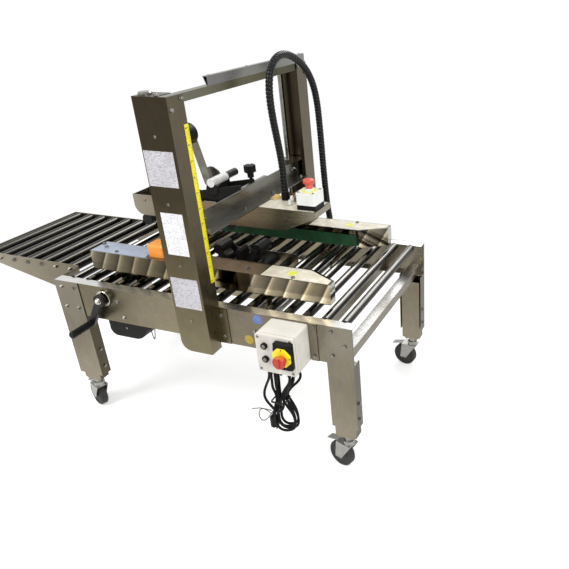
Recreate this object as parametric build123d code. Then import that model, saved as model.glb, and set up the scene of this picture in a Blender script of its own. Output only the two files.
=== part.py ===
from build123d import *
import math
import os

# A case sealer: a roller bed on four castered legs, an infeed extension, two belt drives that are
# wound together by a crank, and a tape head on a crossbar that rides on screws in two columns.
# Millimetres. X runs with the cartons, Y across the lane (the working side is -Y), Z is up.
# Every piece is drawn about the middle of the lane. export() then moves it by lane_shift, so that
# the origin lies on the floor under the middle of the machine's outline.

# Sheet and stock
sheet = 3.0
fit_gap = 0.3
pin_gap = 0.15

# Bed frame
bed_start = -349.0
bed_end = 866.0
rail_outer = 365.0
rail_top = 585.0
rail_height = 137.0
rail_top_flange = 38.0
rail_bottom_flange = 26.0
cross_member_width = 40.0
cross_member_height = 34.0
cross_member_starts = (-325.0, 655.0, 805.0)

# Rollers of the bed
roller_radius = 15.0
roller_axis_z = 575.0
roller_pitch = 70.0
roller_last_x = 823.0
roller_count = 17
axle_radius = 5.0
roller_end_gap = 2.0

# Infeed extension
infeed_start = -863.0
infeed_outer = 250.0
infeed_top = 590.0
infeed_tip_height = 25.0
infeed_root_height = 142.0
infeed_roller_radius = 19.0
infeed_roller_pitch = 74.5
infeed_roller_last_x = -394.0
infeed_roller_count = 7
infeed_bar_width = 22.0

# Legs
infeed_leg_width = 112.0
outfeed_leg_width = 95.0
leg_depth = 45.0
infeed_shell_bottom = 176.0
outfeed_shell_bottom = 192.0
outfeed_gusset_width = 54.0
outfeed_gusset_strip = 27.0
foot_width = 78.0
foot_top = 422.0

# Casters
wheel_radius = 50.0
wheel_width = 30.0
wheel_hub_radius = 30.0
caster_height = 152.0
caster_plate_length = 60.0
caster_plate_thickness = 5.0
caster_trail = 37.0
caster_axle_radius = 6.0
fork_plate = 3.0
fork_side_gap = 5.0
fork_crown_z = 108.0
fork_crown_back = 22.0
race_radius = 21.0
race_height = 17.0
swivel_neck_radius = 15.0
pedal_length = 52.0
pedal_width = 26.0
pedal_drop = 14.0
near_infeed_turn = -22.0
far_infeed_turn = 14.0
near_outfeed_turn = -18.0
far_outfeed_turn = -9.0

# Columns
column_start = 241.0
column_width = 122.0
column_outer = 419.0
column_depth = 75.0
column_top = 1277.0
column_bottom = 425.0
column_corner_radius = 38.0
column_front_lip = 15.0
column_back_lip = 12.0
column_flange = 45.0
bearing_plate_width = 80.0

# Top beam and chain cover
beam_width = 30.0
beam_height = 25.0
chain_cover_height = 29.0
chain_cover_depth = 17.0
chain_cover_foot = 5.0
chain_cover_sheet = 2.0
chain_cover_start_y = -215.0

# Lift screws
screw_radius = 10.0
lift_screw_x = 262.0
lift_screw_y = 385.0
lift_screw_bottom = 470.0
lift_collar_radius = 20.0
lift_collar_height = 9.0
lift_foot_width = 36.0
lift_foot_height = 18.0

# Width screw, guide rods and crank
width_screw_x = -122.0
width_screw_z = 543.0
width_screw_radius = 9.0
guide_rod_radius = 12.0
guide_rod_z = 515.0
guide_rod_xs = (-52.0, 508.0)
crank_bearing_radius = 28.0
crank_bearing_depth = 7.0
crank_shaft_reach = 396.0
crank_arm_reach = 120.0
crank_arm_angle = 238.0
crank_arm_width = 26.0
crank_arm_depth = 14.0
crank_hub_radius = 23.0
grip_radius = 13.0
grip_length = 96.0
grip_edge = 3.0

# Side drives
drive_start = -230.0
drive_end = 757.0
drive_bottom = 610.0
drive_top = 683.0
drive_outer = 281.0
drive_belt_face = 197.0
drive_cover_inner = 190.0
drive_taper_start = 655.0
drive_taper_inner = 245.0
belt_height = 48.0
belt_bottom = 609.0
belt_thickness = 4.0
pulley_radius = 27.0
pulley_start_x = -188.0
pulley_end_x = 618.0
drive_beam_inset = 3.0
drive_arm_width = 20.0
drive_arm_bottom = 497.0
drive_arm_inner = 205.0
drive_arm_outer = 256.0
drive_boss_wall = 6.0
pulley_cap_start = 20.0
pulley_cap_length = 78.0
pulley_cap_inner = 196.0
pulley_cap_width = 66.0
pulley_cap_height = 45.0
pulley_cap_radius = 16.0
pulley_cap_edge = 7.0

# Tape head in the bed
pit_start = 90.0
pit_end = 438.0
pit_plate_inner = 82.0
pit_plate_top = 598.0
pit_plate_bottom = 468.0
pit_bar_width = 30.0
pit_bar_height = 22.0
pit_bar_z = 470.0
short_roller_inner = 95.0
pit_roller_specs = ((150.0, 572.0, 22.0), (330.0, 572.0, 22.0), (392.0, 560.0, 14.0))
pit_pivot_z = 560.0
pit_pivot_radius = 8.0
front_pivot_x = 220.0
front_roller_x = 160.0
front_roller_z = 635.0
rear_pivot_x = 262.0
rear_roller_x = 334.0
rear_roller_z = 653.0
arm_roller_radius = 21.0
arm_roller_half = 38.0
arm_plate_width = 26.0
arm_plate_thickness = 5.0
arm_hub_radius = 9.0
arm_hub_end = 62.0
blade_guard_width = 22.0
blade_guard_half = 30.0
blade_guard_bottom = 490.0
blade_guard_top = 640.0
blade_guard_edge = 8.0

# Drive motor under the bed
motor_start = -148.0
motor_length = 176.0
motor_y = -350.0
motor_width = 118.0
motor_bottom = 376.0
motor_strap_width = 60.0
motor_start_radius = 30.0
motor_end_radius = 64.0

# Head crossbar and lift carriages
head_bottom = 755.0
head_top = 836.0
crossbar_start = 322.0
crossbar_flange = 58.0
crossbar_height = 61.0
crossbar_reach = 338.0
strip_width = 15.0
strip_near = -45.0
strip_far = 110.0
strip_drop = 12.0
carriage_start = 250.0
carriage_width = 84.0
carriage_outer = 404.0

# Head housing
head_start = -184.0
head_end = 608.0
head_half_width = 60.0
head_corner_radius = 40.0
head_nose_height = 40.0
head_end_height = 22.0
head_slope_start = 478.0
head_cover_start = 352.0
head_window_end = 316.0

# Tape head
tape_plate_start = 100.0
tape_plate_length = 208.0
tape_plate_bottom = 770.0
tape_plate_shoulder = 82.0
tape_plate_step = 37.0
tape_plate_step_height = 104.0
tape_plate_height = 136.0
tape_plate_inner = 42.0
tape_plate_thickness = 4.0
tape_spacer_radius = 7.0
tape_spacer_inset = 30.0
tape_ledge_inset = 20.0
tape_ledge_height = 36.0
idler_x = 184.0
idler_radius = 16.0
idler_near = -52.0
idler_shaft_radius = 6.0
idler_lug_width = 30.0
idler_end_radius = 14.0
idler_end_reach = 110.0
front_press_x = -140.0
front_press_radius = 22.0
front_press_rise = 20.0
rear_press_x = 240.0
rear_press_radius = 20.0
rear_press_rise = 6.0
rear_press_gap = 12.0
knob_x = 285.0
knob_y = 60.0
knob_z = 905.0
knob_neck_radius = 12.0
knob_neck_height = 20.0
knob_radius = 22.0
knob_height = 46.0
knob_lobes = 6
knob_stud_radius = 6.0
knob_shelf_width = 40.0
knob_shelf_drop = 20.0
reel_x = 85.0
reel_z = 1072.0
reel_radius = 38.0
reel_inner_radius = 27.0
reel_spindle_radius = 8.0
reel_near_y = -48.0
reel_width = 50.0
reel_arm_near_y = 6.0
reel_arm_thickness = 6.0
reel_arm_width = 32.0
reel_foot_inset = 28.0
reel_foot_drop = 16.0
reel_foot_radius = 8.0
reel_disc_radius = 40.0
reel_disc_thickness = 4.0
reel_disc_lift = 10.0

# Emergency stop box on the head
stop_box_start = 529.0
stop_box_size = 74.0
stop_box_near_y = -47.0
stop_box_base_height = 18.0
stop_box_height = 62.0
stop_box_radius = 6.0
stop_stem_radius = 13.0
stop_stem_depth = 12.0
stop_bore_depth = 20.0
stop_collar_radius = 17.0
stop_collar_height = 10.0
stop_button_radius = 20.0
stop_button_rise = 28.0
stop_button_height = 14.0
stop_button_edge = 5.0

# Control box on the working side
control_box_start = 577.0
control_box_width = 135.0
control_box_depth = 101.0
control_box_bottom = 441.0
control_box_height = 137.0
control_box_radius = 6.0
switch_x = 680.0
switch_z = 514.0
switch_width = 60.0
switch_height = 78.0
switch_depth = 20.0
switch_socket_radius = 8.0
switch_socket_depth = 12.0
switch_knob_radius = 21.0
switch_knob_depth = 26.0
button_x = 610.0
button_zs = (540.0, 492.0)
button_radius = 11.0
button_depth = 7.0

# Ruler on the working-side column
ruler_bottom = 671.0
ruler_top = 1190.0
ruler_width = 19.0
ruler_thickness = 1.5

# Cable glands
gland_radius = 9.0
hose_gland_radius = 16.0
hose_gland_length = 26.0
hose_bracket_width = 48.0
hose_bracket_reach = 37.0
hose_bracket_thickness = 6.0

# Free cords: the hose from the head over to the far side, and the mains lead in its hank
hose_diameter = 26.0
lead_diameter = 9.0
hank_depth = 44.0
hook_x = 640.0
hook_z = 420.0
hook_radius = 4.0
hook_back = 12.0
hook_reach = 66.0
plug_place = (569.0, 214.0)
plug_radius = 15.0
plug_length = 40.0
blade_length = 16.0

lane_shift = Vector(0, (crank_shaft_reach + grip_length - column_outer) / 2, 0)

rail_bottom = rail_top - rail_height
column_end = column_start + column_width
column_inner = column_outer - column_depth
tape_plate_end = tape_plate_start + tape_plate_length
tape_plate_top = tape_plate_bottom + tape_plate_height
pieces = {}


def keep(name, *solids):
    """Collects the solids of one named piece."""
    pieces[name] = list(solids)


def block(x0, x1, y0, y1, z0, z1):
    """A box between two corners."""
    return Pos((x0 + x1) / 2, (y0 + y1) / 2, (z0 + z1) / 2) * Box(x1 - x0, y1 - y0, z1 - z0)


def rod_y(x, z, radius, y0, y1):
    """A round bar across the lane."""
    return Pos(x, (y0 + y1) / 2, z) * Rot(90, 0, 0) * Cylinder(radius, y1 - y0)


def rod_z(x, y, radius, z0, z1):
    """An upright round bar."""
    return Pos(x, y, (z0 + z1) / 2) * Cylinder(radius, z1 - z0)


def across(shape):
    """The same shape on the other side of the lane."""
    return mirror(shape, about=Plane.XZ)


def profile_x(points, x0, x1):
    """A closed outline in Y and Z, drawn out along X."""
    outline = make_face(Plane.YZ * Polyline(*points, close=True))
    return Pos(x0, 0, 0) * extrude(outline, x1 - x0, dir=(1, 0, 0))


def profile_y(points, y0, y1):
    """A closed outline in X and Z, drawn out along Y."""
    outline = make_face(Polyline(*[(x, 0, z) for x, z in points], close=True))
    return Pos(0, y0, 0) * extrude(outline, y1 - y0, dir=(0, 1, 0))


def plan(points, z0, z1):
    """A closed outline in X and Y, drawn up along Z."""
    outline = make_face(Polyline(*points, close=True))
    return Pos(0, 0, z0) * extrude(outline, z1 - z0, dir=(0, 0, 1))


def link(start, end, width, y0, y1):
    """A flat bar with round ends between two centres in X and Z."""
    rise = math.atan2(end[1] - start[1], end[0] - start[0])
    length = math.hypot(end[0] - start[0], end[1] - start[1])
    middle = Pos((start[0] + end[0]) / 2, (y0 + y1) / 2, (start[1] + end[1]) / 2)
    bar = middle * Rot(0, -math.degrees(rise), 0) * Box(length, y1 - y0, width)
    return bar + rod_y(*start, width / 2, y0, y1) + rod_y(*end, width / 2, y0, y1)


def side_rail():
    """The working-side rail: a folded channel, open towards the lane."""
    web = -rail_outer
    inside = web + sheet
    top_edge = web + rail_top_flange
    bottom_edge = web + rail_bottom_flange
    return profile_x([
        (web, rail_bottom), (bottom_edge, rail_bottom), (bottom_edge, rail_bottom + sheet),
        (inside, rail_bottom + sheet), (inside, rail_top - sheet), (top_edge, rail_top - sheet),
        (top_edge, rail_top), (web, rail_top)], bed_start, bed_end)


def build_bed_frame():
    """Two rails, the members between them and the bearings of the width screw."""
    screw_hole = rod_y(width_screw_x, width_screw_z, width_screw_radius + 1, -rail_outer, -rail_outer + sheet)
    rail = side_rail() - screw_hole
    keep("side_rails", rail, across(rail))
    inner = rail_outer - sheet
    members = []
    for start in cross_member_starts:
        tube = block(start, start + cross_member_width, -inner, inner,
                     rail_bottom + sheet, rail_bottom + sheet + cross_member_height)
        hollow = block(start + sheet, start + cross_member_width - sheet, -inner, inner,
                       rail_bottom + sheet, rail_bottom + cross_member_height)
        members.append(tube - hollow)
    keep("bed_cross_members", *members)
    boss = rod_y(width_screw_x, width_screw_z, crank_bearing_radius,
                 -rail_outer - crank_bearing_depth, -rail_outer)
    boss -= rod_y(width_screw_x, width_screw_z, width_screw_radius + pin_gap,
                  -rail_outer - crank_bearing_depth, -rail_outer)
    keep("screw_bearings", boss, across(boss))


def roller(x, z, radius, y0, y1, axle_y0, axle_y1):
    """A tube closed at both ends round its axle."""
    tube = rod_y(x, z, radius, y0, y1)
    axle = rod_y(x, z, axle_radius, axle_y0, axle_y1)
    return tube + axle


def build_rollers():
    """Bed rollers, in short pairs beside the tape head's pit, and infeed rollers."""
    inner = rail_outer - sheet
    end = rail_outer - rail_top_flange - roller_end_gap
    solids = []
    for index in range(roller_count):
        x = roller_last_x - index * roller_pitch
        if pit_start < x < pit_end:
            short = roller(x, roller_axis_z, roller_radius, short_roller_inner, end,
                           pit_plate_inner + sheet, inner)
            solids += [short, across(short)]
        else:
            solids.append(roller(x, roller_axis_z, roller_radius, -end, end, -inner, inner))
    keep("bed_rollers", *solids)
    infeed_inner = infeed_outer - sheet
    infeed_end = infeed_inner - roller_end_gap
    infeed_axis_z = roller_axis_z + roller_radius - infeed_roller_radius
    keep("infeed_rollers", *[
        roller(infeed_roller_last_x - index * infeed_roller_pitch, infeed_axis_z, infeed_roller_radius,
               -infeed_end, infeed_end, -infeed_inner, infeed_inner)
        for index in range(infeed_roller_count)])


def build_infeed():
    """Tapered side plates, a bar across the free end and one against the bed."""
    top = infeed_top
    plate = profile_y([
        (infeed_start, top), (infeed_start, top - infeed_tip_height),
        (bed_start, top - infeed_root_height), (bed_start, top)],
        -infeed_outer, -infeed_outer + sheet)
    inner = infeed_outer - sheet
    tip_bar = block(infeed_start, infeed_start + sheet, -inner, inner, top - infeed_tip_height, top)
    root_bar = block(bed_start - infeed_bar_width, bed_start, -inner, inner,
                     top - infeed_root_height, top - infeed_root_height + infeed_bar_width)
    bridge = block(bed_start - sheet, bed_start, -rail_outer, -infeed_outer,
                   rail_bottom, rail_top)
    keep("infeed_frame", plate + across(plate) + tip_bar + root_bar + bridge + across(bridge))


def leg_shell(x0, x1, bottom):
    """A channel leg below the rail, open towards the lane."""
    front = -rail_outer - sheet
    back = front + leg_depth
    return plan([
        (x0, front), (x1, front), (x1, back), (x1 - sheet, back), (x1 - sheet, front + sheet),
        (x0 + sheet, front + sheet), (x0 + sheet, back), (x0, back)],
        bottom, rail_bottom)


def leg_foot(x):
    """The tube that slides in a leg, closed below by the caster's plate."""
    left = x - foot_width / 2
    right = x + foot_width / 2
    near = -rail_outer
    far = -rail_outer - sheet + leg_depth
    middle = (near + far) / 2
    foot = block(left, right, near, far, caster_height, foot_top)
    foot -= block(left + sheet, right - sheet, near + sheet, far - sheet, caster_height + 2 * sheet, foot_top)
    foot += block(x - caster_plate_length / 2, x + caster_plate_length / 2, near, far,
                  caster_height - caster_plate_thickness, caster_height)
    return foot - rod_z(x, middle, caster_axle_radius + fit_gap,
                        caster_height - caster_plate_thickness, caster_height + 2 * sheet)


def build_legs():
    """Four legs with plates lapped over the rail's face, each with a telescoping foot."""
    front = -rail_outer - sheet
    infeed_x = bed_start
    outfeed_x = bed_end - outfeed_leg_width
    infeed_end = infeed_x + infeed_leg_width
    infeed_plate = block(infeed_x, infeed_end, front, front + sheet, rail_bottom, rail_top)
    outfeed_plate = block(outfeed_x - outfeed_gusset_width, bed_end, front, front + sheet,
                          rail_bottom, rail_top)
    strip_x = outfeed_x - outfeed_gusset_width
    outfeed_plate += block(strip_x, strip_x + outfeed_gusset_strip, front - sheet, front,
                           rail_bottom, rail_top)
    infeed_leg = leg_shell(infeed_x, infeed_end, infeed_shell_bottom) + infeed_plate
    outfeed_leg = leg_shell(outfeed_x, bed_end, outfeed_shell_bottom) + outfeed_plate
    keep("infeed_legs", infeed_leg, across(infeed_leg))
    keep("outfeed_legs", outfeed_leg, across(outfeed_leg))
    infeed_foot = leg_foot((infeed_x + infeed_end) / 2)
    outfeed_foot = leg_foot((outfeed_x + bed_end) / 2)
    keep("leg_extensions", infeed_foot, across(infeed_foot), outfeed_foot, across(outfeed_foot))


def caster_places():
    """The swivel axis of each caster, and how far its fork stands turned."""
    y = -rail_outer + (leg_depth - sheet) / 2
    infeed_x = bed_start + infeed_leg_width / 2
    outfeed_x = bed_end - outfeed_leg_width / 2
    return {"near_infeed": (infeed_x, y, near_infeed_turn), "far_infeed": (infeed_x, -y, far_infeed_turn),
            "near_outfeed": (outfeed_x, y, near_outfeed_turn), "far_outfeed": (outfeed_x, -y, far_outfeed_turn)}


def caster_fork():
    """Fork, race, king pin and the brake pedal that trails over the wheel, about the swivel axis."""
    inner = wheel_width / 2 + fork_side_gap
    back = -race_radius - fork_crown_back
    crown_top = fork_crown_z + fork_plate
    side = profile_y([
        (-caster_trail - 14, wheel_radius - 8), (-caster_trail + 14, wheel_radius - 8),
        (race_radius, fork_crown_z), (back, fork_crown_z)], inner, inner + fork_plate)
    crown = block(back, race_radius, -inner - fork_plate, inner + fork_plate, fork_crown_z, crown_top)
    race = rod_z(0, 0, race_radius, crown_top, crown_top + race_height)
    neck_top = caster_height - caster_plate_thickness - fit_gap
    neck = rod_z(0, 0, swivel_neck_radius, crown_top + race_height, neck_top)
    pin = rod_z(0, 0, caster_axle_radius, neck_top, caster_height + 2 * sheet)
    axle = rod_y(-caster_trail, wheel_radius, caster_axle_radius, -inner, inner)
    pedal = profile_y([
        (back, fork_crown_z), (back, crown_top), (back - pedal_length, crown_top - pedal_drop),
        (back - pedal_length, fork_crown_z - pedal_drop)],
        -pedal_width / 2, pedal_width / 2)
    return side + across(side) + crown + race + neck + pin + axle + pedal


def caster_wheel():
    """A rubber-tyred wheel with dished sides and a bored hub, about the swivel axis."""
    half = wheel_width / 2
    bore = caster_axle_radius + pin_gap
    outline = Polyline(
        (bore, -half), (wheel_hub_radius / 2, -half), (wheel_hub_radius + 6, -half + 5),
        (wheel_radius - 5, -half), (wheel_radius, -half + 5), (wheel_radius, half - 5),
        (wheel_radius - 5, half), (wheel_hub_radius + 6, half - 5), (wheel_hub_radius / 2, half),
        (bore, half), close=True)
    wheel = revolve(make_face(outline), Axis.Y)
    return Pos(-caster_trail, 0, wheel_radius) * wheel


def build_casters():
    """Four swivel forks with their wheels, each turned as it came to rest."""
    for name, (x, y, turn) in caster_places().items():
        place = Pos(x, y, 0) * Rot(0, 0, turn)
        keep(name + "_caster_fork", place * caster_fork())
        keep(name + "_caster_wheel", place * caster_wheel())


def column():
    """The working-side column: a tall folded angle astride the rail, open to the lane."""
    x0 = column_start
    x1 = column_end
    outer = -column_outer
    inner = -column_inner
    outer_plate = profile_y([(x0, column_bottom), (x1, column_bottom), (x1, column_top), (x0, column_top)],
                            outer, outer + sheet)
    corner = outer_plate.edges().filter_by(Axis.Y).sort_by(Axis.X)[:2].sort_by(Axis.Z)[0]
    outer_plate = fillet(corner, column_corner_radius)
    front_wall = block(x1 - sheet, x1, outer, inner, rail_top, column_top)
    front_wall += block(x1 - sheet, x1, outer, -rail_outer, column_bottom, rail_top)
    front_lip = block(x1 - column_front_lip, x1, inner - sheet, inner, rail_top,
                      column_top - beam_height - sheet)
    back_lip = block(x0, x0 + sheet, outer, outer + column_back_lip, column_bottom + column_corner_radius,
                     column_top)
    back_wall = block(x0, x0 + sheet, outer, -rail_outer, column_bottom + column_corner_radius, rail_top)
    flange = block(x1, x1 + column_flange, -rail_outer - sheet, -rail_outer, rail_bottom, rail_top - sheet)
    floor = block(x0 + column_corner_radius, x1, outer, -rail_outer, column_bottom, column_bottom + sheet)
    bearing = block(x0, x0 + bearing_plate_width, outer, inner, column_top - sheet, column_top)
    bearing -= rod_z(lift_screw_x, -lift_screw_y, screw_radius, column_top - sheet, column_top)
    return outer_plate + front_wall + front_lip + back_lip + back_wall + flange + floor + bearing


def chain_cover(front, reach):
    """The folded cover on the beam: an upright front, a narrow top and a back that slants to its foot."""
    z0 = column_top
    z1 = column_top + chain_cover_height
    outline = make_face(Polyline(
        (front, 0, z0), (front, 0, z1), (front - chain_cover_depth, 0, z1), (front - chain_cover_foot, 0, z0),
        close=True))
    ring = outline - offset(outline, -chain_cover_sheet, kind=Kind.INTERSECTION)
    return Pos(0, chain_cover_start_y, 0) * extrude(ring, reach - chain_cover_start_y, dir=(0, 1, 0))


def build_columns():
    """Columns, the beam and chain cover across them, lift screws and the ruler."""
    near = column()
    keep("columns", near, across(near))
    beam_y = column_outer - sheet
    x1 = column_end - sheet
    x0 = x1 - beam_width
    beam = block(x0, x1, -beam_y, beam_y, column_top - beam_height, column_top)
    beam -= block(x0 + sheet, x1 - sheet, -beam_y, beam_y, column_top - beam_height, column_top - sheet)
    keep("top_beam", beam)
    keep("chain_cover", chain_cover(x1, beam_y))
    screw = rod_z(lift_screw_x, -lift_screw_y, screw_radius, lift_screw_bottom, column_top)
    collar = rod_z(lift_screw_x, -lift_screw_y, lift_collar_radius, column_top,
                   column_top + lift_collar_height)
    collar = chamfer(collar.edges().sort_by(Axis.Z)[-1], lift_collar_height / 2)
    foot = block(lift_screw_x - lift_foot_width / 2, lift_screw_x + lift_foot_width / 2,
                 -column_outer + sheet, -rail_outer, lift_screw_bottom - lift_foot_height, lift_screw_bottom)
    keep("lift_screws", screw + collar + foot, across(screw + collar + foot))
    keep("height_ruler", block(column_end, column_end + ruler_thickness, -column_inner - ruler_width,
                               -column_inner, ruler_bottom, ruler_top))


def build_guide_rods():
    """The rods that the two side drives slide on."""
    inner = rail_outer - sheet
    keep("width_guide_rods", *[rod_y(x, guide_rod_z, guide_rod_radius, -inner, inner) for x in guide_rod_xs])


def build_crank():
    """The screw that moves both drives, with its arm and grip."""
    screw = rod_y(width_screw_x, width_screw_z, width_screw_radius, -crank_shaft_reach, rail_outer)
    arm_near = -crank_shaft_reach
    arm_far = arm_near + crank_arm_depth
    turn = math.radians(crank_arm_angle)
    tip = (width_screw_x + crank_arm_reach * math.cos(turn), width_screw_z + crank_arm_reach * math.sin(turn))
    hub = rod_y(width_screw_x, width_screw_z, crank_hub_radius, arm_near, arm_far)
    arm = link((width_screw_x, width_screw_z), tip, crank_arm_width, arm_near, arm_far)
    keep("width_crank", screw + hub + arm)
    grip = rod_y(*tip, grip_radius, arm_near - grip_length, arm_near)
    keep("crank_grip", chamfer(grip.edges().sort_by(Axis.Y)[0], grip_edge))


def drive_cover():
    """The working-side drive's folded cover: top, outer wall and both ends."""
    outer = -drive_outer
    inner = -drive_cover_inner
    taper = -drive_taper_inner
    top = plan([(drive_start, outer), (drive_end, outer), (drive_end, taper),
                (drive_taper_start, inner), (drive_start, inner)], drive_top - sheet, drive_top)
    wall = block(drive_start, drive_end, outer, outer + sheet, drive_bottom, drive_top)
    infeed_end = block(drive_start, drive_start + sheet, outer, inner, drive_bottom, drive_top)
    outfeed_end = plan([(drive_end, outer), (drive_end, taper), (drive_taper_start, inner),
                        (drive_taper_start, inner - sheet), (drive_end - sheet, taper - sheet),
                        (drive_end - sheet, outer)], drive_bottom, drive_top)
    return top + wall + infeed_end + outfeed_end


def drive_frame():
    """The beam behind the belt, its two pulleys and the arms that hang to the rods and the screw."""
    belt_outer = -drive_belt_face - 2 * pulley_radius - 2 * belt_thickness
    face = -drive_belt_face - belt_thickness - drive_beam_inset
    back = belt_outer + belt_thickness + drive_beam_inset
    middle = (pulley_start_x + pulley_radius + 10, pulley_end_x - pulley_radius - 10)
    beam = block(middle[0], middle[1], back, face, belt_bottom, drive_top - sheet)
    arms = []
    for x in (width_screw_x,) + guide_rod_xs:
        arm = block(x - drive_arm_width / 2, x + drive_arm_width / 2, -drive_arm_outer, -drive_arm_inner,
                    drive_arm_bottom, belt_bottom)
        arms.append(arm)
    body = beam + arms[0] + arms[1] + arms[2]
    body += rod_y(width_screw_x, width_screw_z, width_screw_radius + drive_boss_wall,
                  -drive_arm_outer, -drive_arm_inner)
    for x in guide_rod_xs:
        body += rod_y(x, guide_rod_z, guide_rod_radius + drive_boss_wall, -drive_arm_outer, -drive_arm_inner)
    body -= rod_y(width_screw_x, width_screw_z, width_screw_radius + fit_gap, -drive_outer, 0)
    for x in guide_rod_xs:
        body -= rod_y(x, guide_rod_z, guide_rod_radius + fit_gap, -drive_outer, 0)
    return body


def drive_pulleys():
    """Upright pulleys, held by the cover."""
    y = -drive_belt_face - belt_thickness - pulley_radius
    return [rod_z(x, y, pulley_radius, belt_bottom, drive_top - sheet)
            for x in (pulley_start_x, pulley_end_x)]


def drive_belt():
    """One closed belt round both pulleys."""
    y = -drive_belt_face - belt_thickness - pulley_radius
    length = pulley_end_x - pulley_start_x
    centre = Pos((pulley_start_x + pulley_end_x) / 2, y, belt_bottom + belt_height / 2)
    outer = SlotCenterToCenter(length, 2 * (pulley_radius + belt_thickness))
    inner = SlotCenterToCenter(length, 2 * (pulley_radius + fit_gap / 6))
    return centre * extrude(outer - inner, belt_height / 2, both=True)


def pulley_cap():
    """The coloured cap over the driving shaft, on top of the cover."""
    cap = block(pulley_cap_start, pulley_cap_start + pulley_cap_length, -pulley_cap_inner - pulley_cap_width,
                -pulley_cap_inner, drive_top, drive_top + pulley_cap_height)
    uprights = cap.edges().filter_by(Axis.Z)
    cap = fillet(uprights, pulley_cap_radius)
    return chamfer(cap.faces().sort_by(Axis.Z)[-1].edges(), pulley_cap_edge)


def build_drives():
    """Both side drives, one the mirror of the other."""
    cover = drive_cover()
    frame = drive_frame()
    pulleys = drive_pulleys()
    belt = drive_belt()
    cap = pulley_cap()
    keep("near_drive_cover", cover)
    keep("near_drive_frame", frame, *pulleys)
    keep("near_drive_belt", belt)
    keep("near_pulley_cap", cap)
    keep("far_drive_cover", across(cover))
    keep("far_drive_frame", across(frame), *[across(pulley) for pulley in pulleys])
    keep("far_drive_belt", across(belt))
    keep("far_pulley_cap", across(cap))


def build_pit():
    """The tape head in the bed: side plates on two bars, with its rollers between them."""
    inner = pit_plate_inner
    outer = inner + sheet
    plate = block(pit_start, pit_end, -outer, -inner, pit_plate_bottom, pit_plate_top)
    reach = rail_outer - sheet
    solids = [plate, across(plate)]
    for x in (pit_start + 6, pit_end - 6 - pit_bar_width):
        bar = block(x, x + pit_bar_width, -reach, reach, pit_bar_z, pit_bar_z + pit_bar_height)
        solids.append(bar)
    frame = solids[0] + solids[1] + solids[2] + solids[3]
    keep("bottom_tape_head", frame)
    front_arm = pit_arm(front_pivot_x, front_roller_x, front_roller_z)
    rear_arm = pit_arm(rear_pivot_x, rear_roller_x, rear_roller_z)
    rear_arm += rod_y(rear_roller_x, rear_roller_z, arm_hub_radius, -arm_hub_end, -arm_roller_half)
    rollers = [rod_y(x, z, radius, -inner, inner) for x, z, radius in pit_roller_specs]
    keep("bottom_head_rollers", front_arm, rear_arm, blade_guard(), *rollers)


def pit_arm(pivot_x, roller_x, roller_z):
    """A pivoted arm of the bottom tape head: two plates with a roller raised between them."""
    pivot = (pivot_x, pit_pivot_z)
    axle = (roller_x, roller_z)
    side = link(pivot, axle, arm_plate_width, arm_roller_half, arm_roller_half + arm_plate_thickness)
    shaft = rod_y(*pivot, pit_pivot_radius, -pit_plate_inner, pit_plate_inner)
    return side + across(side) + shaft + rod_y(*axle, arm_roller_radius, -arm_roller_half, arm_roller_half)


def blade_guard():
    """The guard over the cutting blade, between the two arms, on its own cross shaft."""
    x0 = (front_pivot_x + rear_pivot_x - blade_guard_width) / 2
    x1 = x0 + blade_guard_width
    guard = block(x0, x1, -blade_guard_half, blade_guard_half, blade_guard_bottom, blade_guard_top)
    tops = guard.faces().sort_by(Axis.Z)[-1].edges().filter_by(Axis.Y)
    guard = chamfer(tops, blade_guard_edge)
    return guard + rod_y((x0 + x1) / 2, blade_guard_bottom + pit_pivot_radius, pit_pivot_radius,
                         -pit_plate_inner, pit_plate_inner)


def build_motor():
    """The rounded black guard over the motor, hung from a strap that bears under both rails."""
    motor_end = motor_start + motor_length
    strap_bottom = rail_bottom - sheet
    guard = block(motor_start, motor_end, motor_y, motor_y + motor_width, motor_bottom, strap_bottom)
    start_edge, end_edge = guard.edges().filter_by(Axis.Y).sort_by(Axis.Z)[:2].sort_by(Axis.X)
    guard = fillet(start_edge, motor_start_radius)
    end_edge = guard.edges().filter_by(Axis.Y).sort_by(Axis.Z)[:3].sort_by(Axis.X)[-1]
    guard = fillet(end_edge, motor_end_radius)
    middle = (motor_start + motor_end) / 2
    strap = block(middle - motor_strap_width / 2, middle + motor_strap_width / 2, motor_y, -motor_y,
                  strap_bottom, rail_bottom)
    keep("drive_motor", guard + strap)


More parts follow.
